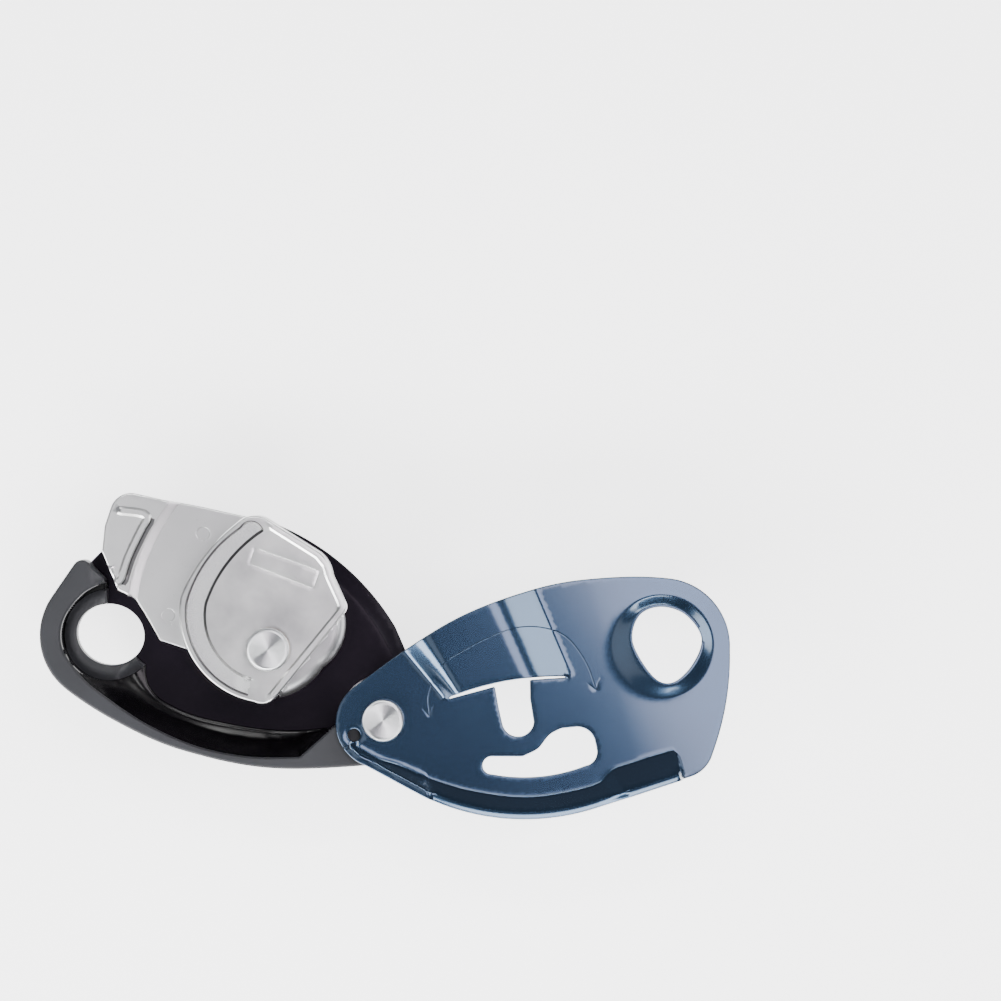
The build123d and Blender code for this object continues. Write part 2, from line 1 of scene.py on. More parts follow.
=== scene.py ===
"""Look of an assisted-braking belay device that lies open on its back.

Shapes are in mm, in the frame's own axes: the fixed plate's front face is z = 0 and its carabiner hole is the
origin. They are scaled to metres as the meshes are made.
"""
from math import atan2, cos, hypot, pi, radians, sin

import bpy
import numpy as np
from mathutils import Matrix, Vector
from mathutils.geometry import delaunay_2d_cdt


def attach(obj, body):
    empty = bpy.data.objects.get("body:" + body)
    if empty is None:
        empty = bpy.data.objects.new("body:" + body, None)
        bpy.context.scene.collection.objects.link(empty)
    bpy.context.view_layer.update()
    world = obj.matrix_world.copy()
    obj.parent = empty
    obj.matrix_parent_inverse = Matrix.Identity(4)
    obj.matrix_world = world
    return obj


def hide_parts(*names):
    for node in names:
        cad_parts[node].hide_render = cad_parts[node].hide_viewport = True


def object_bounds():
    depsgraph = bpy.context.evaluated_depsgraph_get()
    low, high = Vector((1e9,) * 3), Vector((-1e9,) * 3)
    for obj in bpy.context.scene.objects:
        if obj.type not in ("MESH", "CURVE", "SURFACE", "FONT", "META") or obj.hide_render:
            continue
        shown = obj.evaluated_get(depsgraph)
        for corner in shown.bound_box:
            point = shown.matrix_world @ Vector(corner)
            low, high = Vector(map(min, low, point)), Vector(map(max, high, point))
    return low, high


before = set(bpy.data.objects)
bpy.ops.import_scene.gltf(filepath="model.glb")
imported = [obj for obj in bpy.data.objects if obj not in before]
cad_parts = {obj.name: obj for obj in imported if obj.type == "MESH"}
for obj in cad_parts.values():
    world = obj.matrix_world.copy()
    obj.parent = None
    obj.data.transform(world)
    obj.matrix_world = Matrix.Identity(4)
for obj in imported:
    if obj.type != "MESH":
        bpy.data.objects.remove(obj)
cad_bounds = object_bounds()

MM = 0.001
SHARP_ANGLE = 32.0
PIVOT = (68.4, 0.0)
AXLE = (37.4, 8.1)
OPEN_TURN = radians(-148)


# ---------------------------------------------------------------- curves in the plane
def arc(a, b, c, count=24):
    """Points on the circle through a, b and c, from a to c."""
    (ax, ay), (bx, by), (cx, cy) = a, b, c
    d = 2 * (ax * (by - cy) + bx * (cy - ay) + cx * (ay - by))
    a2, b2, c2 = ax * ax + ay * ay, bx * bx + by * by, cx * cx + cy * cy
    ux = (a2 * (by - cy) + b2 * (cy - ay) + c2 * (ay - by)) / d
    uy = (a2 * (cx - bx) + b2 * (ax - cx) + c2 * (bx - ax)) / d
    start, mid, end = (atan2(y - uy, x - ux) for x, y in (a, b, c))
    if (mid - start) % (2 * pi) < (end - start) % (2 * pi):
        sweep = (end - start) % (2 * pi)
    else:
        sweep = -((start - end) % (2 * pi))
    r = hypot(ax - ux, ay - uy)
    angles = [start + sweep * i / count for i in range(count + 1)]
    return [(ux + r * cos(t), uy + r * sin(t)) for t in angles]


def spline(points, closed=False, count=12, tangents=None):
    """Smooth curve through the points."""
    pts = [Vector(p) for p in points]
    n = len(pts)
    slopes = []
    for i in range(n):
        if closed or 0 < i < n - 1:
            slopes.append((pts[(i + 1) % n] - pts[i - 1]) / 2)
        else:
            slopes.append(pts[1] - pts[0] if i == 0 else pts[-1] - pts[-2])
    if tangents:
        slopes[0] = Vector(tangents[0]) * (pts[1] - pts[0]).length
        slopes[-1] = Vector(tangents[1]) * (pts[-1] - pts[-2]).length
    out = []
    for i in range(n if closed else n - 1):
        p, q, m, k = pts[i], pts[(i + 1) % n], slopes[i], slopes[(i + 1) % n]
        for j in range(count):
            t = j / count
            a = 2 * t**3 - 3 * t**2 + 1
            b = t**3 - 2 * t**2 + t
            c = -2 * t**3 + 3 * t**2
            d = t**3 - t**2
            out.append(tuple(p * a + m * b + q * c + k * d))
    if not closed:
        out.append(tuple(pts[-1]))
    return out


def circle(centre, radius, count=64):
    return [(centre[0] + radius * cos(2 * pi * i / count), centre[1] + radius * sin(2 * pi * i / count))
            for i in range(count)]


def round_point(centre, radius, angle):
    return (centre[0] + radius * cos(radians(angle)), centre[1] + radius * sin(radians(angle)))


def resample(loop, step, closed=True):
    """The same line with its points a regular step apart."""
    pts = np.array(list(loop) + ([loop[0]] if closed else []), dtype=float)
    keep = np.concatenate(([True], np.linalg.norm(np.diff(pts, axis=0), axis=1) > 1e-6))
    pts = pts[keep]
    run = np.concatenate(([0], np.cumsum(np.linalg.norm(np.diff(pts, axis=0), axis=1))))
    count = max(8, int(round(run[-1] / step)))
    at = np.linspace(0, run[-1], count + 1)
    if closed:
        at = at[:-1]
    return np.column_stack([np.interp(at, run, pts[:, 0]), np.interp(at, run, pts[:, 1])])


def signed_area(loop):
    """Area of a closed loop, above zero where it runs anticlockwise."""
    x, y = loop[:, 0], loop[:, 1]
    return 0.5 * np.sum(x * np.roll(y, -1) - np.roll(x, -1) * y)


def inset_loop(loop, amount, hole):
    """Moves a closed loop into the material by the amount."""
    ahead = np.roll(loop, -1, axis=0) - np.roll(loop, 1, axis=0)
    ahead /= np.linalg.norm(ahead, axis=1)[:, None]
    left = np.column_stack([-ahead[:, 1], ahead[:, 0]])
    side = 1 if signed_area(loop) > 0 else -1
    if hole:
        side = -side
    return loop + left * side * amount


def inside(points, loop):
    """Which points lie inside the closed loop."""
    x, y = points[:, 0][:, None], points[:, 1][:, None]
    x0, y0 = loop[:, 0][None, :], loop[:, 1][None, :]
    x1, y1 = np.roll(x0, -1, axis=1), np.roll(y0, -1, axis=1)
    cross = (y0 > y) != (y1 > y)
    slope = np.where(y1 == y0, 1e-12, y1 - y0)
    hit = cross & (x < (x1 - x0) * (y - y0) / slope + x0)
    return hit.sum(axis=1) % 2 == 1


def distance(points, line, closed=False):
    """Distance of each point from a line of straight pieces."""
    line = np.asarray(line, dtype=float)
    a = line if closed else line[:-1]
    b = np.roll(line, -1, axis=0) if closed else line[1:]
    best = np.full(len(points), 1e9)
    for p, q in zip(a, b):
        d = q - p
        length = max(float(d @ d), 1e-12)
        t = np.clip(((points - p) @ d) / length, 0, 1)
        best = np.minimum(best, np.linalg.norm(points - (p + t[:, None] * d), axis=1))
    return best


def smooth(t):
    """From 0 to 1 with no kink at either end."""
    t = np.clip(t, 0, 1)
    return t * t * (3 - 2 * t)


def soft_ramp(d, fillet):
    """Zero before 0 and d after it, rounded over the fillet to either side."""
    return np.where(d > fillet, d, np.clip(d + fillet, 0, None) ** 2 / (4 * fillet))


def soft_min(a, b, blend):
    """The lower of the two, rounded where they cross."""
    near = np.clip(1 - np.abs(a - b) / blend, 0, 1)
    return np.minimum(a, b) - near * near * blend / 4


def offset_line(line, amount):
    """The same open line moved to its right."""
    pts = np.array(line, dtype=float)
    ahead = np.gradient(pts, axis=0)
    ahead /= np.linalg.norm(ahead, axis=1)[:, None]
    return [tuple(p) for p in pts + np.column_stack([ahead[:, 1], -ahead[:, 0]]) * amount]


def rows(line, amounts):
    """Copies of an open line moved to its right by the amounts."""
    return [offset_line(line, amount) for amount in amounts]


# ---------------------------------------------------------------- meshes
ROW_SHARE = 0.87  # spacing of the grid's rows, as a share of its step


def make_object(name, verts, faces):
    """Mesh object from points in mm, smooth except where its faces meet at a sharp angle."""
    mesh = bpy.data.meshes.new(name)
    mesh.from_pydata([(x * MM, y * MM, z * MM) for x, y, z in verts], [], faces)
    mesh.validate()
    mesh.update()
    made = bpy.data.objects.new(name, mesh)
    bpy.context.scene.collection.objects.link(made)
    mesh.polygons.foreach_set("use_smooth", [True] * len(mesh.polygons))
    mesh.set_sharp_from_angle(angle=radians(SHARP_ANGLE))
    return made


def fill(loops, features, step):
    """Triangles between the first loop and the others, about a step wide, with edges on the feature lines."""
    points, edges = [], []
    for loop in loops:
        start = len(points)
        points += [tuple(p) for p in loop]
        edges += [(start + i, start + (i + 1) % len(loop)) for i in range(len(loop))]
    lines = [resample(line, step * 0.8, closed=False) for line in features]
    for line in lines:
        keep = inside(line, loops[0])
        keep &= distance(line, loops[0], True) > step * 0.3
        for hole in loops[1:]:
            keep &= ~inside(line, hole)
            keep &= distance(line, hole, True) > step * 0.3
        for i, p in enumerate(line):
            if keep[i]:
                if i and keep[i - 1]:
                    edges.append((len(points) - 1, len(points)))
                points.append(tuple(p))
    low, high = loops[0].min(axis=0), loops[0].max(axis=0)
    row_count = int((high[1] - low[1]) / (step * ROW_SHARE)) + 1
    column_count = int((high[0] - low[0]) / step) + 2
    grid = np.array([(low[0] + (i + 0.5 * (j % 2)) * step, low[1] + j * step * ROW_SHARE)
                     for j in range(row_count) for i in range(column_count)])
    keep = inside(grid, loops[0]) & (distance(grid, loops[0], True) > step * 0.6)
    for hole in loops[1:]:
        keep &= ~inside(grid, hole) & (distance(grid, hole, True) > step * 0.6)
    for line in lines:
        keep &= distance(grid, line) > step * 0.55
    points += [tuple(p) for p in grid[keep]]
    verts, _, faces, _, _, _ = delaunay_2d_cdt([Vector(p) for p in points], edges, [], 0, 1e-5)
    spots = np.array([tuple(v) for v in verts])
    middles = np.array([spots[list(f)].mean(axis=0) for f in faces])
    keep = inside(middles, loops[0])
    for hole in loops[1:]:
        keep &= ~inside(middles, hole)
    faces = [list(f) for f, good in zip(faces, keep) if good]
    return spots, faces


def slab(name, outline, holes, top, bottom, rim=0.3, step=1.2, edge_step=0.7, features=(), warp=None, side=(),
         rim_low=None, hole_rim=None):
    """Closed solid over an outline with holes.

    top and bottom give z over the plane. The rims are rounded by rim, below by rim_low and at the holes by
    hole_rim. side is a list of (inset, share of height) that shapes the outer wall from top to bottom, and
    warp moves each finished point.
    """
    rim_low = rim if rim_low is None else rim_low
    hole_rim = rim if hole_rim is None else hole_rim
    loops = [resample(outline, edge_step)] + [resample(h, min(edge_step, 0.5)) for h in holes]
    for i, loop in enumerate(loops):
        if (signed_area(loop) > 0) == (i > 0):
            loops[i] = loop[::-1].copy()
    turns = [t * pi / 2 for t in (0, 0.25, 0.5, 0.75, 1)]
    rims = [(rim, rim_low)] + [(hole_rim, min(hole_rim, rim_low))] * len(holes)
    inner_top = [inset_loop(loop, rims[i][0], i > 0) for i, loop in enumerate(loops)]
    inner_low = [inset_loop(loop, rims[i][1], i > 0) for i, loop in enumerate(loops)]
    spots_top, faces_top = fill(inner_top, features, step)
    spots_low, faces_low = fill(inner_low, features, step)
    verts = [(x, y, z) for (x, y), z in zip(spots_top, top(spots_top))]
    base = len(verts)
    verts += [(x, y, z) for (x, y), z in zip(spots_low, bottom(spots_low))]
    faces = [f if turns_left(spots_top, f) else f[::-1] for f in faces_top]
    faces += [[base + k for k in (f[::-1] if turns_left(spots_low, f) else f)] for f in faces_low]
    start = 0
    for i, loop in enumerate(loops):
        count = len(loop)
        rings = [list(range(start, start + count))]
        z_top, z_low = top(inner_top[i]), bottom(inner_low[i])
        round_top, round_low = rims[i]
        profile = [(round_top * (1 - sin(t)), "top", round_top * (1 - cos(t))) for t in turns[1:]]
        if i == 0:
            profile += [(inset, "share", share) for inset, share in side]
        profile += [(round_low * (1 - cos(t)), "low", round_low * (1 - sin(t))) for t in turns[:-1]]
        for inset, kind, value in profile:
            ring = inset_loop(loop, inset, i > 0)
            if kind == "top":
                z = z_top - value
            elif kind == "low":
                z = z_low + value
            else:
                z = z_top - round_top - value * (z_top - round_top - z_low - round_low)
            rings.append(list(range(len(verts), len(verts) + count)))
            verts += [(x, y, h) for (x, y), h in zip(ring, z)]
        rings.append([base + k for k in range(start, start + count)])
        faces += band_faces(rings)
        start += count
    if warp:
        verts = [warp(*v) for v in verts]
    return make_object(name, verts, faces)


def band_faces(rings):
    """Four-sided faces between each closed ring of points and the next."""
    faces = []
    for upper, lower in zip(rings, rings[1:]):
        for k in range(len(upper)):
            n = (k + 1) % len(upper)
            faces.append([upper[k], lower[k], lower[n], upper[n]])
    return faces


def turns_left(spots, face):
    """Whether a face runs anticlockwise over its points in the plane."""
    a, b, c = (spots[k] for k in face[:3])
    return (b[0] - a[0]) * (c[1] - a[1]) - (b[1] - a[1]) * (c[0] - a[0]) > 0


def lathe(name, centre, profile, count=72):
    """Solid of revolution about an axis along Z; the profile runs from the top of the axis to its foot."""
    verts = [(0, 0, profile[0][1])]
    rings = []
    for r, z in profile[1:-1]:
        rings.append(list(range(len(verts), len(verts) + count)))
        verts += [(r * cos(2 * pi * k / count), r * sin(2 * pi * k / count), z) for k in range(count)]
    verts.append((0, 0, profile[-1][1]))
    faces = [[0, rings[0][k], rings[0][(k + 1) % count]] for k in range(count)]
    faces += band_faces(rings)
    faces += [[len(verts) - 1, rings[-1][(k + 1) % count], rings[-1][k]] for k in range(count)]
    made = make_object(name, verts, faces)
    made.location = (centre[0] * MM, centre[1] * MM, 0)
    return made


def opened(x, y, z):
    """A point of the moving side plate, from where it is when closed to where it lies open."""
    dx, dy = x - PIVOT[0], y - PIVOT[1]
    c, s = cos(OPEN_TURN), sin(OPEN_TURN)
    return (PIVOT[0] + dx * c - dy * s, PIVOT[1] + dx * s + dy * c, z)


def flat(height):
    """Level face for a slab."""
    return lambda points: np.full(len(points), float(height))


# ---------------------------------------------------------------- outlines shared by the plates
NOSE_R = 16.2


def nose(angle):
    """Point on the round end about the carabiner hole."""
    return (NOSE_R * cos(radians(angle)), NOSE_R * sin(radians(angle)))


def lower_edge():
    """The nose, belly and pivot end that the plates and the frame share."""
    belly = spline([nose(248), (10, -19.4), (26, -20.9), (47, -18.6), (72.5, -9.6)],
                   tangents=[(0.93, -0.37), (0.93, 0.37)])
    return arc(nose(162), nose(205), nose(248)) + belly + arc((72.5, -9.6), (79.6, -1.5), (75.2, 9.2))


def moving_edge():
    """Outline of the moving side plate when it is closed."""
    return (lower_edge() + [(64.0, 19.6)] + arc((64.0, 19.6), (46.5, 29.8), (25.3, 33.0))
            + arc((2.0, 31.7), (-2.4, 30.5), (-5.2, 27.6)) + arc((-5.2, 27.6), (-10.8, 18.0), nose(162)))


def fixed_edge():
    """Outline of the fixed side plate."""
    return (lower_edge() + [(64.5, 21.6)] + arc((64.5, 21.6), (48.0, 32.2), (28.0, 36.9))
            + arc((-3.6, 33.0), (-6.3, 31.5), (-7.2, 28.5), 8) + [(-7.6, 19.2)]
            + arc(nose(138), nose(150), nose(162), 8))


# ---------------------------------------------------------------- moving side plate
MOVING_TOP = 15.3
MOVING_THICK = 1.8
SLIT = arc((22.9, 1.35), (34.0, -1.2), (52.8, -1.2))
BRIDGE_RISE = 4.3
BRIDGE_Y = (-1.2, -24.0)  # the slit and the plate's edge, where the pairs of x below are taken
# far foot, far top, near top and near foot
BRIDGE_LINES = [(22.7, 25.9), (31.8, 35.5), (49.6, 56.4), (52.8, 63.8)]
BRIDGE_BLENDS = [(-0.45, 0, 0.45), (-1.2, 0, 1.2), (-0.6, 0, 0.6), (-0.6, 0, 0.6)]
FLARE_SLOPE = 0.76
LIP_BAND = 1.6
LIP_SLOPE = 1.22
CREASE = (spline([(76.6, 4.0), (71.8, 8.6), (67.4, 11.4), (62.6, 15.2)], count=8)
          + spline([(62.6, 15.2), (53.9, 20.6), (44.4, 24.9), (36.8, 26.9), (29.0, 27.6), (24.4, 27.6)],
                   count=8)[1:]
          + spline([(24.4, 27.6), (22.0, 27.1), (20.3, 25.9), (18.4, 25.0), (15.6, 24.8)], count=6)[1:]
          + [(10.0, 24.5), (5.0, 24.4), (-6.0, 24.4)])
HOLE_EGG = [(6.4, -2.6), (3.4, -8.3), (-2.0, -9.1), (-7.2, -5.8), (-9.5, 0.6), (-5.6, 6.2), (0.0, 8.9),
            (3.9, 6.2)]
COLLAR_R = 12.2
COLLAR_RISE = 1.25
DETENT = (75.9, 1.6)
DETENT_R = 1.5
DIMPLE_R = 2.3
PLATE_PIVOT_R = 3.1
ARC_MARK = spline([(57.4, 1.6), (56.2, -3.4), (51.3, -9.1), (45.9, -11.0), (39.0, -12.6), (32.0, -13.2),
                   (26.0, -11.5), (21.2, -7.8), (18.4, -1.0), (17.7, 5.6)], count=8)
MARKS = [ARC_MARK, [(56.1, -0.1), (57.4, 2.0), (58.5, 0.0)], [(16.3, 3.8), (17.7, 6.0), (19.2, 4.0)]]
MARK_HALF = 0.13
MARK_DEPTH = 0.045


def bridge_x(ends, y):
    """x of one of the bridge's straight lines, which spread towards the plate's edge."""
    return ends[0] + (ends[1] - ends[0]) * (BRIDGE_Y[0] - y) / (BRIDGE_Y[0] - BRIDGE_Y[1])


def bridge_rise(points):
    """How far the plate is raised over the path of the axle's head: long flank, flat top, short flank."""
    x, y = points[:, 0], points[:, 1]
    far_foot, far_top, near_top, near_foot = (bridge_x(ends, y) for ends in BRIDGE_LINES)
    far = BRIDGE_RISE * soft_ramp(x - far_foot, 0.45) / (far_top - far_foot)
    near = BRIDGE_RISE * soft_ramp(near_foot - x, 0.6) / (near_foot - near_top)
    rise = soft_min(soft_min(far, BRIDGE_RISE, 1.1), near, 1.6)
    return np.where(y < np.interp(x, *np.array(SLIT).T), rise, 0)


def flare_end(y):
    """x of the flare's steep end wall, rounded into the crease."""
    return 2.5 + 2.6 * (1 - np.sqrt(1 - np.clip((27.4 - y) / 3.2, 0, 1) ** 2))


def flare_rise(points):
    """How far the edge beside the rope channel is bent up; the bend is wider near the pivot."""
    region = np.array(CREASE + [(-6, 60), (90, 60), (90, 4.0)])
    depth = distance(points, CREASE) * np.where(inside(points, region), 1, -1)
    near_pivot = smooth((points[:, 0] - 61.5) / 1.4)
    sheet = (FLARE_SLOPE + 0.24 * near_pivot) * soft_ramp(depth, 0.3 + 0.9 * near_pivot)
    wall = 4.0 * soft_ramp(points[:, 0] - flare_end(points[:, 1]), 0.12)
    return np.where(wall > 0, soft_min(sheet, wall, 0.02 + 0.7 * smooth(sheet / 1.5)), 0)


def collar_rise(points):
    """Raised collar round the carabiner hole, less the slight fall of the nose."""
    egg = resample(spline(HOLE_EGG, closed=True), 0.6)
    r = np.linalg.norm(points, axis=1)
    gap = distance(points, egg, True)
    share = (COLLAR_R - r) / np.maximum(np.abs(COLLAR_R - r) + gap, 1e-3)
    cone = soft_min(soft_ramp(share, 0.2), np.ones(len(points)), 0.35)
    return COLLAR_RISE * cone - 0.5 * np.clip((13 - points[:, 0]) / 29, 0, 1) ** 1.6


def lip_fall(points, flare):
    """How far the rounded lip falls away along the flare's outer edge."""
    edge = distance(points, resample(moving_edge(), 0.7), True)
    return LIP_SLOPE * soft_ramp(LIP_BAND - edge, 0.35) * smooth(flare / 1.2)


def moving_top(points):
    """Upper face, with the flare's lip, the engraved lines and the rim of the small hole."""
    flare = flare_rise(points)
    lip = lip_fall(points, flare)
    engraved = np.zeros(len(points))
    for mark in MARKS:
        engraved = np.maximum(engraved, MARK_DEPTH * np.clip(1 - distance(points, mark) / MARK_HALF, 0, 1))
    ring = np.linalg.norm(points - DETENT, axis=1)
    dimple = 0.35 * np.clip((DIMPLE_R - ring) / 0.8, 0, 1)
    return MOVING_TOP + bridge_rise(points) + flare + collar_rise(points) - lip - engraved - dimple


def moving_low(points):
    """Lower face; the sheet is a little thicker under the flare."""
    flare = flare_rise(points)
    thicker = 0.45 * smooth(flare / 1.2)
    return MOVING_TOP - MOVING_THICK + bridge_rise(points) + flare + collar_rise(points) - thicker


def slot_edge():
    """Slot for the axle's neck and the slit above it, as one hole."""
    end = [round_point((37.5, 8.3), 3.75, a) for a in range(0, 170, 10)]
    slit = [p for p in SLIT if 24.0 < p[0] < 52.0]
    right = [(33.4, 4.0), (32.3, -0.35), (28.0, 0.45), (24.0, 1.3)]
    left = [(52.0, -0.95), (40.7, -0.95), (41.1, 4.0)]
    return end + right + slit + left


def window_edge():
    """Window beside the bent edge."""
    tail = arc((46.6, 19.0), (48.4, 16.9), (46.0, 14.8), 8)
    waist = spline([(38.6, 16.8), (34.6, 15.9), (31.2, 13.5), (28.1, 12.7)])
    head = arc((24.4, 13.3), (22.2, 14.6), (21.1, 17.2), 8) + arc((21.2, 19.6), (22.3, 21.9), (24.8, 22.7), 8)
    return tail + waist + head + arc((24.8, 22.7), (35.8, 22.4), (46.6, 19.0))


def moving_features():
    """Lines along which the sheet is bent, pressed or engraved."""
    features = [circle(DETENT, DIMPLE_R, 24)] + rows(CREASE, (-0.3, 0, 0.3, 0.8))
    for inset in (0.7, 1.25, 1.6, 1.95):
        edge_line = inset_loop(resample(moving_edge(), 0.7), inset, False)
        features.append([tuple(p) for p in edge_line if p[1] > 6 and 2.0 < p[0] < 77])
    features += [circle((0, 0), COLLAR_R + shift, 90) for shift in (0.4, 0, -0.4)]
    for inset in (0.5, 0.9, 1.4):
        hole_line = inset_loop(resample(spline(HOLE_EGG, closed=True), 0.6), inset, True)
        features.append([*hole_line, hole_line[0]])
    heights = np.arange(24.6, 33.0, 0.4)
    features += [[(float(flare_end(y)) + shift, y) for y in heights] for shift in (-0.12, 0.12, 0.5, 0.9)]
    for mark in MARKS:
        features += [mark] + rows(mark, (-0.22, -MARK_HALF, MARK_HALF, 0.22))
    for ends, shifts in zip(BRIDGE_LINES, BRIDGE_BLENDS):
        for shift in shifts:
            features.append([(bridge_x(ends, y) + shift, y) for y in np.arange(-1.6, -22.5, -1.0)])
    return features


def moving_plate():
    holes = [spline(HOLE_EGG, closed=True), circle(PIVOT, PLATE_PIVOT_R), circle(DETENT, DETENT_R, 24)]
    holes += [slot_edge(), window_edge()]
    return slab("moving_side_plate_skin", moving_edge(), holes, moving_top, moving_low, rim=0.28, step=0.8,
                edge_step=0.6, features=moving_features(), warp=opened)


# ---------------------------------------------------------------- fixed side plate
FIXED_THICK = 2.0
FIXED_BEND = spline([(18.0, 37.6), (28.4, 33.4), (38.0, 31.3), (46.7, 28.6), (55.0, 24.3), (62.4, 18.4),
                     (71.0, 9.5)], count=8)
FIXED_SLOPE = 0.72
FRAME_SCREWS = [(-12.7, -3.6), (-9.3, 9.4), (58.6, -9.6)]
FRICTION_RIVETS = [(14.0, 29.5), (11.8, 8.4)]
FASTENER_HEAD_R = 2.5
CARABINER_HOLE = (8.0, 7.2)
AXLE_R = 4.0
PIVOT_R = 3.0
STOP_SLOT_R = 11.0
FIT = 0.02  # clearance of a hole over the radius of what passes through it


def fixed_top(points):
    """Front face; the edge beside the rope bends down."""
    region = np.array(FIXED_BEND + [(90, 9), (90, 60), (18, 60)])
    depth = distance(points, FIXED_BEND) * np.where(inside(points, region), 1, -1)
    ends = smooth((points[:, 0] - 21) / 8) * smooth((73 - points[:, 0]) / 6)
    return -FIXED_SLOPE * soft_ramp(depth, 0.3) * ends


def ellipse(a, b, count=72):
    return [(a * cos(2 * pi * i / count), b * sin(2 * pi * i / count)) for i in range(count)]


def arc_slot(radius, start, end, half):
    """Slot with round ends on a circle round the cam axle."""
    middle = (start + end) / 2
    outer = arc(*[round_point(AXLE, radius + half, a) for a in (start, middle, end)])
    inner = arc(*[round_point(AXLE, radius - half, a) for a in (end, middle, start)])
    cap = arc(round_point(AXLE, radius + half, end), slot_tip(radius, end, half),
              round_point(AXLE, radius - half, end), 8)
    foot = arc(round_point(AXLE, radius - half, start), slot_tip(radius, start, -half),
               round_point(AXLE, radius + half, start), 8)
    return outer + cap[1:-1] + inner + foot[1:-1]


def slot_tip(radius, angle, reach):
    """Outermost point of a slot's round end."""
    x, y = round_point(AXLE, radius, angle)
    return (x - reach * sin(radians(angle)), y + reach * cos(radians(angle)))


def fixed_plate():
    holes = [ellipse(*CARABINER_HOLE), circle(AXLE, AXLE_R + FIT), circle(PIVOT, PIVOT_R + FIT, 40)]
    holes.append(arc_slot(STOP_SLOT_R, -5, 30, 2.15))
    holes += [circle(centre, FASTENER_HEAD_R + 0.03, 40) for centre in FRAME_SCREWS + FRICTION_RIVETS]
    return slab("fixed_side_plate_skin", fixed_edge(), holes, fixed_top, lambda p: fixed_top(p) - FIXED_THICK,
                rim=0.35, step=1.1, features=rows(FIXED_BEND, (-0.3, 0, 0.3)), hole_rim=0.15)


# ---------------------------------------------------------------- nylon body frame
FRAME_H = 13.0
BOSS_R = 9.4
SPACER_R = 4.5
RING_R = 9.3
LIP_R = 10.85
LIP_H = 5.0
GAP_DEPTH = 1.6
CHANNEL_FLOOR = 0.9
WALL = (spline([(-4.5, 12.0), (-8.9, 7.2), (-11.2, 0.0), (-9.2, -6.4), (-2.9, -11.2), (3.4, -13.9),
                (15.2, -17.4), (28.2, -18.9), (40.6, -17.6), (52.0, -14.2)], count=10)
        + [(57.6, -5.0), round_point(PIVOT, BOSS_R, 199)])
FOOT = spline([(10.2, -4.6), (11.0, -7.0), (13.0, -9.6), (17.0, -11.6), (26, -12.6), (40, -11.2), (50, -8.6),
               (57.0, -5.6)])


def frame_edge():
    """Outline of the frame: along the plate's edge, round the pivot and back beside the rope channel."""
    boss = arc(*[round_point(PIVOT, BOSS_R, a) for a in (75, 140, 199)])
    wide, high = CARABINER_HOLE
    hole = [(wide * cos(radians(a)), high * sin(radians(a))) for a in range(-27, -250, -6)]
    tip = [(-3.4, 8.6), (-4.0, 11.3), (-5.0, 12.6)] + arc((-8.6, 14.4), (-11.0, 15.4), (-12.6, 13.9), 8)
    return lower_edge() + boss + [(57.3, -5.4)] + FOOT[::-1][1:] + [(8.4, -3.9)] + hole + tip


def in_channel(points):
    """Points inside the wall; those on the wall's line belong to the rim."""
    channel = np.array(WALL + [(62, 12), (30, 30), (0, 30), (-3.0, 13)])
    return inside(points, channel) & (distance(points, WALL) > 0.04)


def frame_top(points):
    """Flat rim with a rounded inner edge, ring round the hole with a gap behind it, sloping channel."""
    x, y = points[:, 0], points[:, 1]
    r = np.linalg.norm(points, axis=1)
    wall_gap = distance(points, WALL)
    foot_gap = distance(points, FOOT)
    share = wall_gap / np.maximum(wall_gap + foot_gap, 1e-3)
    slope = CHANNEL_FLOOR + (FRAME_H - 0.6 - CHANNEL_FLOOR) * (1 - share) ** 2.2
    fade = smooth((x - 4.5) / 5.0) * (y < 0)
    ring = LIP_H - 0.5 * np.clip((r - RING_R) / 1.4, -1, 1) ** 2 - (LIP_H - CHANNEL_FLOOR - 0.3) * fade
    drop = smooth((r - LIP_R) / 0.15)
    behind = np.where((x < 0) & (y > -6.0), LIP_H - GAP_DEPTH, slope)
    low = ring * (1 - drop) + behind * drop
    tip = 1.6 * smooth((x + 8.6) / 4.5) * smooth((y - 10.0) / 3.0)
    edge = 0.6 * np.clip(1 - wall_gap / 0.6, 0, 1) ** 2
    return np.where(in_channel(points), low, FRAME_H - np.maximum(edge, tip))


def body_frame():
    holes = [circle(PIVOT, SPACER_R + FIT, 48), circle(DETENT, DETENT_R + 0.1, 24)]
    features = [circle((0, 0), radius, 90) for radius in (LIP_R + 0.15, LIP_R, RING_R)]
    features += [WALL] + rows(WALL, (-0.35, 0.2, 0.45, 0.7)) + rows(FOOT, (0.9,))
    return slab("body_frame_skin", frame_edge(), holes, frame_top, flat(0.0), rim=0.6, rim_low=0.2, step=0.8,
                features=features, hole_rim=0.3)


# ---------------------------------------------------------------- friction plate
FRICTION_THICK = 1.2
RIVET_HOLE_R = 1.55
CAM_CLEARANCE_R = 15.0
TAB_TOP = 12.1
BEAD_HALF = 1.1
# half width of the strip beside the bead that gets painted shade
PAINTED_SHADE_HALF = 1.8
WALL_WIDTH = 1.8
BEAD_SIDE = [(0.8, 29.1), (0.2, 26.2), (-0.8, 19.4), (-0.9, 13.8)]
BEAD = (spline([(-5.7, 29.2), (-2.2, 29.9), (-0.2, 30.0)] + BEAD_SIDE, count=8)
        + spline([BEAD_SIDE[-1], (-1.7, 12.3), (-2.9, 12.8), (-3.9, 14.6)], count=6)[1:])


def wall_line(y):
    """Right side of the plate's raised tab, in plan."""
    return 1.25 + 0.0105 * (y - 17) ** 2


def friction_level(x, y):
    """Tab, then the wall down to the floor."""
    share = (x - wall_line(y)) / WALL_WIDTH
    return TAB_TOP - (TAB_TOP - FRICTION_THICK) * smooth(share)


def bead(points):
    """Share of the pressed bead's full height."""
    return smooth((BEAD_HALF - distance(points, BEAD)) / 0.6)


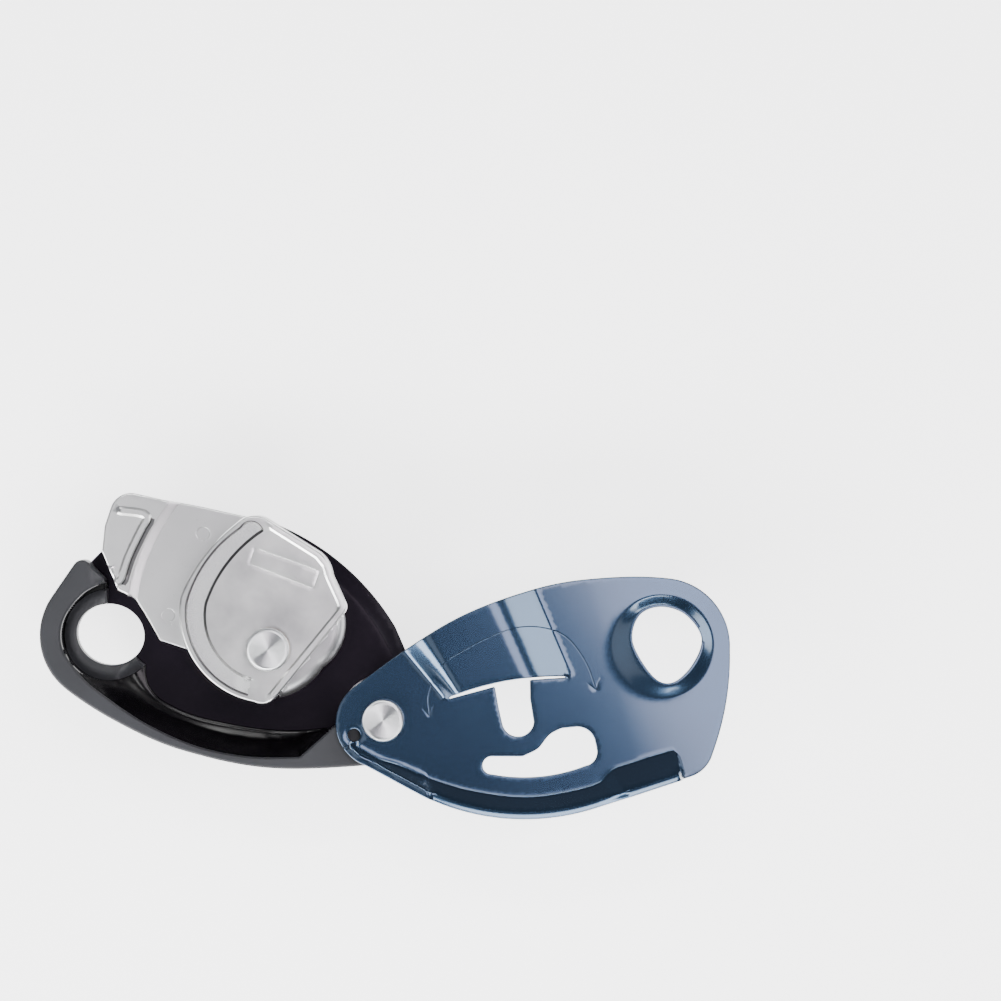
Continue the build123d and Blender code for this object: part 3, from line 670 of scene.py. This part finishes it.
def friction_top(points):
    return friction_level(points[:, 0], points[:, 1]) + (FRAME_H - TAB_TOP) * bead(points)


def friction_low(points):
    shifted = friction_level(points[:, 0] + FRICTION_THICK, points[:, 1])
    return shifted - FRICTION_THICK + 0.4 * bead(points)


def friction_edge():
    """Outline of the friction plate, with a round cut-out for the cam."""
    edge = [(-0.9, 10.9), (1.4, 10.6)] + arc((3.2, 9.6), (7.4, 6.0), (11.6, 1.9), 6)
    edge += arc(*[round_point(AXLE, CAM_CLEARANCE_R, a) for a in (205, 160, 115)], 20)
    edge += [(28.0, 36.5), (27.0, 36.9), (12.0, 35.7), (2.8, 34.7)]
    edge += arc((-3.8, 34.2), (-7.2, 32.4), (-8.4, 29.0), 10)
    return edge + [(-8.5, 24.5), (-7.3, 18.6), (-3.8, 14.4)]


def friction_plate():
    heights = np.arange(10.8, 36.0, 0.8)
    shifts = [WALL_WIDTH * share for share in (-0.67, 0.0, 0.2, 0.4, 0.6, 0.8, 1.0)]
    features = [[(wall_line(y) + shift, y) for y in heights] for shift in shifts]
    features += rows(BEAD, (-PAINTED_SHADE_HALF, -BEAD_HALF, -0.8, -0.5, 0, 0.5, 0.8, BEAD_HALF))
    holes = [circle(centre, RIVET_HOLE_R, 32) for centre in FRICTION_RIVETS]
    return slab("friction_plate_skin", friction_edge(), holes, friction_top, friction_low, rim=0.5,
                rim_low=0.3, hole_rim=0.12, step=0.75, edge_step=0.5, features=features)


# ---------------------------------------------------------------- cam
CAM_TOP = 12.6
CAM_Z = 1.6
CAM_RIM_RISE = 0.35
CAM_BORE_R = 5.02
CAM_FACE_Z = 10.0  # within the flange, only its upper face is above this
BAND_SUNK = 0.7
BAND_SHOWN = 0.3
GROOVE_HALF = 0.35
NOSE_TOP = 10.8
ROPE_GROOVE = [(0.7, 0.16), (1.9, 0.26), (2.3, 0.45), (2.2, 0.7), (1.6, 0.92), (1.3, 1.0)]


def cam_edge():
    """Outline of the cam's flange."""
    edge = arc((38.0, -5.0), (19.8, 1.4), (13.7, 14.0)) + arc((13.7, 14.0), (16.0, 24.2), (21.4, 34.6))
    edge += arc((21.4, 34.6), (24.6, 37.4), (28.6, 37.4), 10)
    corners = [((42.4, 33.7), (45.0, 32.0), (46.8, 29.4)), ((51.4, 24.2), (52.2, 22.8), (52.0, 21.2)),
               ((42.3, -2.6), (40.9, -4.4), (38.0, -5.0))]
    for start, middle, end in corners:
        edge += arc(start, middle, end, 8)
    return edge


BAND_OUT = (arc((36.0, -3.8), (20.9, 2.4), (15.5, 13.0)) + arc((15.5, 13.0), (17.3, 24.4), (22.5, 33.6))
            + arc((22.5, 33.6), (24.9, 35.9), (27.8, 34.6), 10))
BAND_IN = arc((27.8, 34.6), (22.3, 25.4), (20.0, 14.0)) + arc((20.0, 14.0), (25.0, 4.2), (38.2, 0.2))
PANEL = [(27.2, 30.2), (43.6, 29.4), (43.4, 25.0), (27.2, 26.2)]
CAM_RIM = [(28.6, 37.4), (42.4, 33.7), (45.0, 32.0), (46.8, 29.4), (51.4, 24.2), (52.2, 22.8), (52.0, 21.2),
           (42.3, -2.6)]


def band_depth(points):
    """Share of the band's full depth; it runs out towards its lower end."""
    return np.where(points[:, 1] < 8, smooth((38.0 - points[:, 0]) / 6.0), 1)


def cam_top(points):
    """Face with a sunk band, a blank panel and a raised rim along its straight side."""
    band = np.array(BAND_OUT + BAND_IN)
    border = distance(points, band, True)
    depth = band_depth(points)
    sunk = BAND_SUNK * depth * smooth(border / GROOVE_HALF) * inside(points, band)
    groove = 0.35 * depth * np.clip(1 - (distance(points, BAND_IN) / GROOVE_HALF) ** 2, 0, 1)
    frame_line = 0.09 * np.clip(1 - (distance(points, PANEL + PANEL[:1]) / 0.3) ** 2, 0, 1)
    rim = CAM_RIM_RISE * smooth((1.9 - distance(points, CAM_RIM)) / 0.5) * smooth((points[:, 0] - 28.0) / 1.5)
    return CAM_TOP - CAM_RIM_RISE - sunk - groove - frame_line + rim


def cam_nose_edge():
    """Outline of the nose that stands out below the flange."""
    return (arc((50.4, 23.6), (53.6, 15.8), (50.9, 7.4)) + arc((50.9, 7.4), (48.4, 2.2), (43.4, -2.2))
            + [(38, 2), (38, 16), (44, 24)])


def cam():
    """The flange, grooved all round for the rope, and the nose under it."""
    features = rows(BAND_OUT, (-0.25, 0, 0.3)) + rows(BAND_IN, (-GROOVE_HALF, 0, GROOVE_HALF))
    features += rows(resample(CAM_RIM, 0.8, False), (1.4, 1.9))
    features += [inset_loop(resample(PANEL, 0.5), shift, False) for shift in (-0.3, 0, 0.3)]
    wheel = slab("cam_skin", cam_edge(), [circle(AXLE, CAM_BORE_R, 56)], cam_top, flat(CAM_Z), rim=0.6,
                 rim_low=0.5, step=0.8, edge_step=0.6, features=features, side=ROPE_GROOVE, hole_rim=0.1)
    nose_end = slab("cam_nose", cam_nose_edge(), (), flat(NOSE_TOP), flat(CAM_Z), rim=2.8, rim_low=0.5)
    return [wheel, nose_end]


def union(parts, name):
    """One closed mesh from several that overlap."""
    base = parts[0]
    for part in parts[1:]:
        cut = base.modifiers.new("join", "BOOLEAN")
        cut.operation = "UNION"
        cut.solver = "EXACT"
        cut.object = part
        mesh = bpy.data.meshes.new_from_object(base.evaluated_get(bpy.context.evaluated_depsgraph_get()))
        base.modifiers.clear()
        base.data = mesh
        bpy.data.objects.remove(part)
    base.name = name
    return base


# ---------------------------------------------------------------- turned parts
def faced(radius, height, count=12):
    """Profile of a turned face with a faint dish in its middle."""
    return [(radius * i / count, height - 0.05 * (1 - (i / count) ** 2)) for i in range(count + 1)]


def axle():
    """Cam axle: wide head over a thin neck, and a flange at the back."""
    head = [(4.85, 17.22), (5.1, 16.9), (5.16, 16.4), (5.1, 15.8), (4.9, 15.6)]
    shank = [(3.3, 15.6), (3.3, 13.2), (4.0, 13.2), (4.0, -12.0), (5.0, -12.0), (5.2, -12.3), (5.1, -13.1),
             (4.4, -13.5), (0, -13.6)]
    return lathe("cam_axle_turned", AXLE, faced(4.4, 17.4) + head + shank)


def rivet():
    """Rivet that the moving side plate turns on."""
    head = [(4.75, 17.36), (5.0, 17.05), (5.08, 16.5), (5.0, 15.95), (4.8, 15.75)]
    shank = [(3.0, 15.75), (3.0, -2.0), (4.4, -2.0), (4.6, -2.3), (4.4, -3.1), (3.8, -3.4), (0, -3.4)]
    return lathe("side_plate_rivet_turned", PIVOT, faced(4.2, 17.55) + head + shank)


# ---------------------------------------------------------------- handle
HANDLE_ANGLE = -8.0
HANDLE_END = round_point(AXLE, 35.0, HANDLE_ANGLE)
HANDLE_HUB_R = 13.8
HANDLE_TIP_R = 8.8
HANDLE_RECESS_R = 7.2
HANDLE_RIVET_R = 1.63
HANDLE_RIVET_REACHES = (17.0, 27.0)
GRIP_Z = (-14.0, -6.0)
RIBS = (20, 38)
RIB_PITCH = 3.0


def lever_edge(hub_r, end, end_r):
    """Hub and tip joined by tangent sides."""
    dx, dy = end[0] - AXLE[0], end[1] - AXLE[1]
    reach, heading = hypot(dx, dy), atan2(dy, dx)
    lean = np.arccos((hub_r - end_r) / reach)
    hub_turns = [heading + lean + (2 * pi - 2 * lean) * i / 40 for i in range(41)]
    tip_turns = [heading - lean + 2 * lean * i / 24 for i in range(25)]
    return ([round_point(AXLE, hub_r, np.degrees(turn)) for turn in hub_turns]
            + [round_point(end, end_r, np.degrees(turn)) for turn in tip_turns])


def grip():
    """Moulded grip of the handle, with a recess round the axle and holes for its rivets."""
    outer = lever_edge(HANDLE_HUB_R, HANDLE_END, HANDLE_TIP_R)
    holes = [circle(AXLE, HANDLE_RECESS_R, 56)]
    for reach in HANDLE_RIVET_REACHES:
        holes.append(circle(round_point(AXLE, reach, HANDLE_ANGLE), HANDLE_RIVET_R, 32))
    along = Vector((cos(radians(HANDLE_ANGLE)), sin(radians(HANDLE_ANGLE))))

    def low(points):
        """Back of the grip: ribs across the finger rest near the tip."""
        run = (points[:, 0] - AXLE[0]) * along.x + (points[:, 1] - AXLE[1]) * along.y
        waves = np.clip(np.sin((run - RIBS[0]) * 2 * pi / RIB_PITCH), 0, 1)
        return GRIP_Z[0] + 0.35 * waves * (run > RIBS[0]) * (run < RIBS[1])

    return slab("handle_grip_skin", outer, holes, flat(GRIP_Z[1]), low, rim=0.8, rim_low=2.2, step=0.9,
                side=[(0.3, 0.3), (0.6, 0.6)], hole_rim=0.2)


# ---------------------------------------------------------------- materials
GRAIN_DEPTH = 0.00005


def base_material(name):
    """New material with its nodes, its links and its one shader."""
    made = bpy.data.materials.new(name)
    made.use_nodes = True
    nodes = made.node_tree.nodes
    return made, nodes, made.node_tree.links, nodes["Principled BSDF"]


def add_noise(nodes, links, scale, detail=4.0, stretch=None):
    """Noise in the object's own coordinates, in features per metre."""
    place = nodes.new("ShaderNodeTexCoord")
    noise = nodes.new("ShaderNodeTexNoise")
    noise.inputs["Scale"].default_value = scale
    noise.inputs["Detail"].default_value = detail
    if stretch:
        mapping = nodes.new("ShaderNodeMapping")
        mapping.inputs["Scale"].default_value = stretch
        links.new(place.outputs["Object"], mapping.inputs["Vector"])
        links.new(mapping.outputs["Vector"], noise.inputs["Vector"])
    else:
        links.new(place.outputs["Object"], noise.inputs["Vector"])
    return noise


def ramp(nodes, links, source, low, high, colours):
    """Maps a factor between two stops to two colours."""
    made = nodes.new("ShaderNodeValToRGB")
    made.color_ramp.elements[0].position = low
    made.color_ramp.elements[1].position = high
    made.color_ramp.elements[0].color = (*colours[0], 1)
    made.color_ramp.elements[1].color = (*colours[1], 1)
    links.new(source, made.inputs["Fac"])
    return made


def spread(nodes, links, source, low, high):
    """Maps a factor to a range of values."""
    made = nodes.new("ShaderNodeMapRange")
    made.inputs["To Min"].default_value = low
    made.inputs["To Max"].default_value = high
    links.new(source, made.inputs["Value"])
    return made


def add_bump(nodes, links, shader, height, strength, depth):
    bump = nodes.new("ShaderNodeBump")
    bump.inputs["Strength"].default_value = strength
    bump.inputs["Distance"].default_value = depth
    links.new(height, bump.inputs["Height"])
    links.new(bump.outputs["Normal"], shader.inputs["Normal"])


def finish_material(name, colours, metallic, rough, grain, bump, stretch=None, coat=0.0, coat_rough=0.1,
                    cloud=60.0, specular=0.5):
    """Base colour that drifts between two tones, uneven roughness and a fine grain.

    cloud and grain are the scales of the drift and of the grain, in features per metre.
    """
    made, nodes, links, shader = base_material(name)
    shader.inputs["Metallic"].default_value = metallic
    shader.inputs["Coat Weight"].default_value = coat
    shader.inputs["Coat Roughness"].default_value = coat_rough
    shader.inputs["Specular IOR Level"].default_value = specular
    clouds = add_noise(nodes, links, cloud, 3.0)
    fine = add_noise(nodes, links, grain, 5.0, stretch)
    tone = ramp(nodes, links, clouds.outputs["Fac"], 0.3, 0.7, colours)
    links.new(tone.outputs["Color"], shader.inputs["Base Color"])
    uneven = spread(nodes, links, fine.outputs["Fac"], rough[0], rough[1])
    links.new(uneven.outputs["Result"], shader.inputs["Roughness"])
    add_bump(nodes, links, shader, fine.outputs["Fac"], bump, GRAIN_DEPTH)
    return made


def turned_material(name, colours):
    """Lathe-turned steel: the roughness changes from ring to ring round the part's own axis."""
    made, nodes, links, shader = base_material(name)
    shader.inputs["Metallic"].default_value = 1.0
    shader.inputs["Anisotropic"].default_value = 1.0
    place = nodes.new("ShaderNodeTexCoord")
    rings = nodes.new("ShaderNodeTexWave")
    rings.wave_type = "RINGS"
    rings.rings_direction = "Z"
    rings.inputs["Scale"].default_value = 420.0
    rings.inputs["Distortion"].default_value = 0.0
    links.new(place.outputs["Object"], rings.inputs["Vector"])
    clouds = add_noise(nodes, links, 500.0, 3.0)
    tone = ramp(nodes, links, clouds.outputs["Fac"], 0.3, 0.7, colours)
    links.new(tone.outputs["Color"], shader.inputs["Base Color"])
    uneven = spread(nodes, links, rings.outputs["Fac"], 0.34, 0.42)
    links.new(uneven.outputs["Result"], shader.inputs["Roughness"])
    around = nodes.new("ShaderNodeTangent")
    around.direction_type = "RADIAL"
    around.axis = "Z"
    links.new(around.outputs["Tangent"], shader.inputs["Tangent"])
    return made


BLUE = finish_material("blue_anodised", ((0.016, 0.042, 0.084), (0.020, 0.049, 0.096)),
                       metallic=0.9, rough=(0.22, 0.25), grain=6000, bump=0.003, stretch=(1, 0.10, 1),
                       coat=1.0, coat_rough=0.13)
DARK = finish_material("dark_anodised", ((0.006, 0.004, 0.008), (0.010, 0.007, 0.012)),
                       metallic=0.3, rough=(0.24, 0.36), grain=9000, bump=0.08, specular=0.12)
FRICTION = finish_material("stainless_sheet", ((0.70, 0.70, 0.70), (0.80, 0.80, 0.795)),
                           metallic=1.0, rough=(0.26, 0.31), grain=3500, bump=0.04, stretch=(1, 0.2, 1))
# painted shade: a dark copy of the stainless sheet, for the strip beside the pressed bead
FRICTION_PAINTED_SHADE = finish_material("stainless_painted_shade", ((0.10, 0.10, 0.10), (0.16, 0.16, 0.16)),
                                metallic=1.0, rough=(0.30, 0.36), grain=3500, bump=0.04)
CAST = finish_material("cast_stainless", ((0.52, 0.52, 0.525), (0.82, 0.82, 0.81)),
                       metallic=1.0, rough=(0.26, 0.36), grain=3200, bump=0.06, cloud=110.0)
# painted light: a brighter copy of the cast steel, for the floor of the cam's sunk band
CAST_PAINTED_LIGHT = finish_material("cast_stainless_band_painted_light", ((0.86, 0.86, 0.86), (0.92, 0.92, 0.915)),
                              metallic=1.0, rough=(0.22, 0.32), grain=3200, bump=0.05)
# painted shade: a dark copy of the cast steel, for the steps at the sides of the sunk band
CAST_PAINTED_GROOVE_SHADE = finish_material("cast_stainless_painted_groove_shade", ((0.08, 0.08, 0.08), (0.15, 0.15, 0.15)),
                            metallic=1.0, rough=(0.30, 0.44), grain=3200, bump=0.05)
# painted shade: a darker copy of the cast steel, for the nose below the cam's flange
CAST_PAINTED_NOSE_SHADE = finish_material("cast_stainless_painted_nose_shade", ((0.26, 0.26, 0.27), (0.42, 0.42, 0.425)),
                            metallic=1.0, rough=(0.36, 0.42), grain=2600, bump=0.02, cloud=140.0)
NYLON = finish_material("nylon_frame", ((0.026, 0.027, 0.030), (0.034, 0.035, 0.039)),
                        metallic=0.0, rough=(0.34, 0.42), grain=6000, bump=0.1, specular=0.25)
# partly painted shade: the frame's nylon, glossier where the rope polishes it and much darker, the darkness
# standing in for the rope's shadow
CHANNEL = finish_material("nylon_channel_gloss_painted_shade", ((0.0015, 0.0013, 0.002), (0.003, 0.0026, 0.0035)),
                          metallic=0.0, rough=(0.14, 0.22), grain=2500, bump=0.04, specular=0.22)
HANDLE_NYLON = finish_material("handle_nylon", ((0.012, 0.012, 0.014), (0.018, 0.018, 0.020)),
                               metallic=0.0, rough=(0.42, 0.6), grain=5000, bump=0.35)
PALE_NYLON = finish_material("nylon_washer", ((0.48, 0.47, 0.44), (0.55, 0.54, 0.50)),
                             metallic=0.0, rough=(0.35, 0.5), grain=6000, bump=0.15)
ZINC = finish_material("zinc_steel", ((0.42, 0.43, 0.44), (0.50, 0.51, 0.52)),
                       metallic=1.0, rough=(0.25, 0.4), grain=7000, bump=0.2)
SPRING = finish_material("spring_steel", ((0.30, 0.30, 0.31), (0.38, 0.38, 0.39)),
                         metallic=1.0, rough=(0.2, 0.35), grain=9000, bump=0.15)
PRESSED = finish_material("pressed_steel", ((0.32, 0.32, 0.33), (0.40, 0.40, 0.41)),
                          metallic=1.0, rough=(0.3, 0.46), grain=5000, bump=0.25)
BRONZE = finish_material("sintered_bronze", ((0.40, 0.25, 0.12), (0.48, 0.31, 0.15)),
                         metallic=1.0, rough=(0.35, 0.5), grain=8000, bump=0.3)
TURNED = turned_material("turned_steel", ((0.66, 0.67, 0.68), (0.74, 0.75, 0.76)))

NODE_MATERIALS = {
    "wear_plate": FRICTION, "frame_screws": ZINC, "friction_plate_rivets": FRICTION,
    "cam_thrust_washer": PALE_NYLON, "axle_back_washer": ZINC, "cam_retaining_clip": SPRING,
    "cam_stop_pin": ZINC, "handle_stop_pin": ZINC, "pivot_spacer": ZINC, "pivot_thrust_washer": PALE_NYLON,
    "pivot_wave_washer": SPRING, "detent_ball": ZINC, "detent_spring": SPRING, "cam_bushing": BRONZE,
    "cam_drive_dog": ZINC, "cam_return_spring": SPRING, "handle_arm": PRESSED, "handle_rivets": ZINC,
    "handle_bushing": BRONZE, "handle_return_spring": SPRING,
}


def dress(thing, made):
    """Gives an object one material; slots that it already has are filled on the object, not on its mesh."""
    if thing.material_slots:
        for spot in thing.material_slots:
            spot.link = "OBJECT"
            spot.material = made
    else:
        thing.data.materials.append(made)


def paint_faces(piece, made, picked):
    """Gives a second material to the faces whose middles, in mm, are picked; here it mostly carries painted
    light or shade.
    """
    piece.data.materials.append(made)
    middles = np.array([tuple(face.center) for face in piece.data.polygons]) / MM
    for face, pick in zip(piece.data.polygons, picked(middles)):
        if pick:
            face.material_index = len(piece.data.materials) - 1


def rope_slope_gloss_and_shade(middles):
    """The slope of the frame that the rope runs over. It gets a glossier and much darker nylon: the gloss is
    the rope's polish, the darkness is painted shade for the rope's shadow.
    """
    r = np.linalg.norm(middles[:, :2], axis=1)
    return in_channel(middles[:, :2]) & (r > LIP_R) & (middles[:, 2] > 0.05)


def bead_painted_shade(middles):
    """Faces beside the pressed bead, towards the rope, that get painted shade: dark steel standing in for the
    shadow along the bead.
    """
    x, y = middles[:, 0], middles[:, 1]
    gap = distance(middles[:, :2], BEAD)
    side_x, side_y = zip(*BEAD_SIDE[::-1])
    beside = (x > np.interp(y, side_y, side_x)) & (y > 12.5) & (y < 29.6)
    return beside & (gap > 0.8) & (gap < PAINTED_SHADE_HALF) & (middles[:, 2] > TAB_TOP - 1.5)


def cam_band_painted_light(middles):
    """The floor of the sunk band, which gets painted light: a brighter copy of the cast steel standing in for
    the light falling there.
    """
    over_band = inside(middles[:, :2], np.array(BAND_OUT + BAND_IN))
    return over_band & (middles[:, 2] > CAM_FACE_Z) & (band_depth(middles) > BAND_SHOWN)


def cam_groove_painted_shade(middles):
    """The steps at the two sides of the sunk band, which get painted shade: a dark copy of the cast steel
    standing in for the shade in the grooves.
    """
    near = (distance(middles[:, :2], BAND_IN) < 0.36) | (distance(middles[:, :2], BAND_OUT) < 0.24)
    return near & (middles[:, 2] > CAM_FACE_Z) & (band_depth(middles) > BAND_SHOWN)


def cam_nose_painted_shade(middles):
    """The nose below the flange, where the rope is pinched; it gets painted shade, a darker copy of the cast
    steel standing in for the rope's shadow.
    """
    beyond = inside(middles[:, :2], np.array(cam_nose_edge())) & ~inside(middles[:, :2], np.array(cam_edge()))
    return beyond & (middles[:, 2] < NOSE_TOP + 0.4)


def stand_in(piece, node, body, made):
    """The piece is shown in place of the CAD node and rides on its body."""
    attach(piece, body)
    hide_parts(node)
    dress(piece, made)


stand_in(moving_plate(), "moving_side_plate", "side_plate", BLUE)
stand_in(fixed_plate(), "fixed_side_plate", "body", DARK)
frame_skin = body_frame()
stand_in(frame_skin, "body_frame", "body", NYLON)
# glossy nylon with painted shade on the slope the rope runs over
paint_faces(frame_skin, CHANNEL, rope_slope_gloss_and_shade)
friction_skin = friction_plate()
stand_in(friction_skin, "friction_plate", "body", FRICTION)
# painted shade on the strip beside the bead
paint_faces(friction_skin, FRICTION_PAINTED_SHADE, bead_painted_shade)
cam_skin = union(cam(), "cam_skin")
stand_in(cam_skin, "cam", "cam", CAST)
# painted light on the floor of the sunk band
paint_faces(cam_skin, CAST_PAINTED_LIGHT, cam_band_painted_light)
# painted shade in the grooves beside the sunk band
paint_faces(cam_skin, CAST_PAINTED_GROOVE_SHADE, cam_groove_painted_shade)
# painted shade on the nose below the flange
paint_faces(cam_skin, CAST_PAINTED_NOSE_SHADE, cam_nose_painted_shade)
stand_in(axle(), "cam_axle", "body", TURNED)
stand_in(rivet(), "side_plate_rivet", "body", TURNED)
stand_in(grip(), "handle_grip", "handle", HANDLE_NYLON)
for node_name, made in NODE_MATERIALS.items():
    dress(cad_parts[node_name], made)


# ---------------------------------------------------------------- camera, light and floor
VIEW_CENTRE = Vector((0.0797, 0.0580, 0.010))
VIEW_UP = Vector((-0.294, 0.956, 0))
VIEW_RIGHT = Vector((0.956, 0.294, 0))
UPRIGHT = Vector((0, 0, 1))
CAMERA_HEIGHT = 1.415
LENS = 214
SENSOR = 36
FLOOR_HALF = 3.0
FLOOR_GAP = 0.0002


def turned(back, up):
    """Rotation of a camera or lamp whose back looks along the first direction."""
    right = up.cross(back).normalized()
    return Matrix((right, back.cross(right), back)).transposed().to_4x4()


camera = bpy.data.objects.new("camera", bpy.data.cameras.new("camera"))
camera.data.lens = LENS
camera.data.sensor_width = SENSOR
bpy.context.scene.collection.objects.link(camera)
camera_place = VIEW_CENTRE + UPRIGHT * CAMERA_HEIGHT
camera.matrix_world = Matrix.Translation(camera_place) @ turned(UPRIGHT, VIEW_UP)
bpy.context.scene.camera = camera


def softbox(name, heading, tilt, away, size, power, aim=(0.07, 0.02), colour=(1, 1, 1)):
    """Softbox turned towards the aim point, which it stands away from by so many metres.

    heading turns from the right of the view towards its top, and tilt is measured from the vertical.
    """
    side = VIEW_RIGHT * cos(radians(heading)) + VIEW_UP * sin(radians(heading))
    back = side * sin(radians(tilt)) + UPRIGHT * cos(radians(tilt))
    lamp = bpy.data.lights.new(name, "AREA")
    lamp.shape = "RECTANGLE"
    lamp.size, lamp.size_y = size
    lamp.energy = power
    lamp.color = colour
    made = bpy.data.objects.new(name, lamp)
    made.visible_camera = False
    bpy.context.scene.collection.objects.link(made)
    made.matrix_world = Matrix.Translation(Vector((*aim, 0)) + back * away) @ turned(back, UPRIGHT)


softbox("softbox_right", heading=14, tilt=52, away=0.9, size=(0.55, 0.30), power=4.5)
softbox("softbox_left", heading=222, tilt=62, away=0.9, size=(0.8, 0.42), power=18)
softbox("softbox_low", heading=275, tilt=50, away=1.0, size=(0.7, 0.30), power=9)
softbox("softbox_top", heading=98, tilt=33, away=1.0, size=(0.6, 0.10), power=3)
softbox("softbox_nose", heading=35, tilt=12, away=0.42, size=(0.24, 0.14), power=0.72, aim=(0.121, 0.007),
        colour=(1, 0.92, 0.99))
softbox("softbox_tail", heading=195, tilt=12, away=0.42, size=(0.26, 0.16), power=0.16, aim=(0.013, 0.001))

world = bpy.data.worlds.new("studio")
world.use_nodes = True
sky = world.node_tree.nodes
sky_links = world.node_tree.links
direction = sky.new("ShaderNodeTexCoord")
height = sky.new("ShaderNodeSeparateXYZ")
sky_links.new(direction.outputs["Generated"], height.inputs["Vector"])
# pale near the floor, darker half way up, a little paler overhead
shade = ramp(sky, sky_links, height.outputs["Z"], 0.1, 0.94, ((0.44, 0.45, 0.48), (0.20, 0.21, 0.24)))
shade.color_ramp.elements.new(0.55).color = (0.12, 0.125, 0.14, 1)
sky_links.new(shade.outputs["Color"], sky["Background"].inputs["Color"])
bpy.context.scene.world = world

floor_mesh = bpy.data.meshes.new("floor")
floor_z = cad_bounds[0][2] - FLOOR_GAP
floor_corners = [(x * FLOOR_HALF, y * FLOOR_HALF) for x, y in ((-1, -1), (1, -1), (1, 1), (-1, 1))]
floor_mesh.from_pydata([(x, y, floor_z) for x, y in floor_corners], [], [(0, 1, 2, 3)])
floor = bpy.data.objects.new("floor", floor_mesh)
bpy.context.scene.collection.objects.link(floor)
floor_material, _, _, floor_shader = base_material("floor")
floor_shader.inputs["Base Color"].default_value = (0.93, 0.93, 0.93, 1)
floor_shader.inputs["Roughness"].default_value = 0.9
floor_shader.inputs["Specular IOR Level"].default_value = 0.1
floor_shader.inputs["Emission Color"].default_value = (1, 1, 1, 1)
floor_shader.inputs["Emission Strength"].default_value = 2.4
floor.data.materials.append(floor_material)
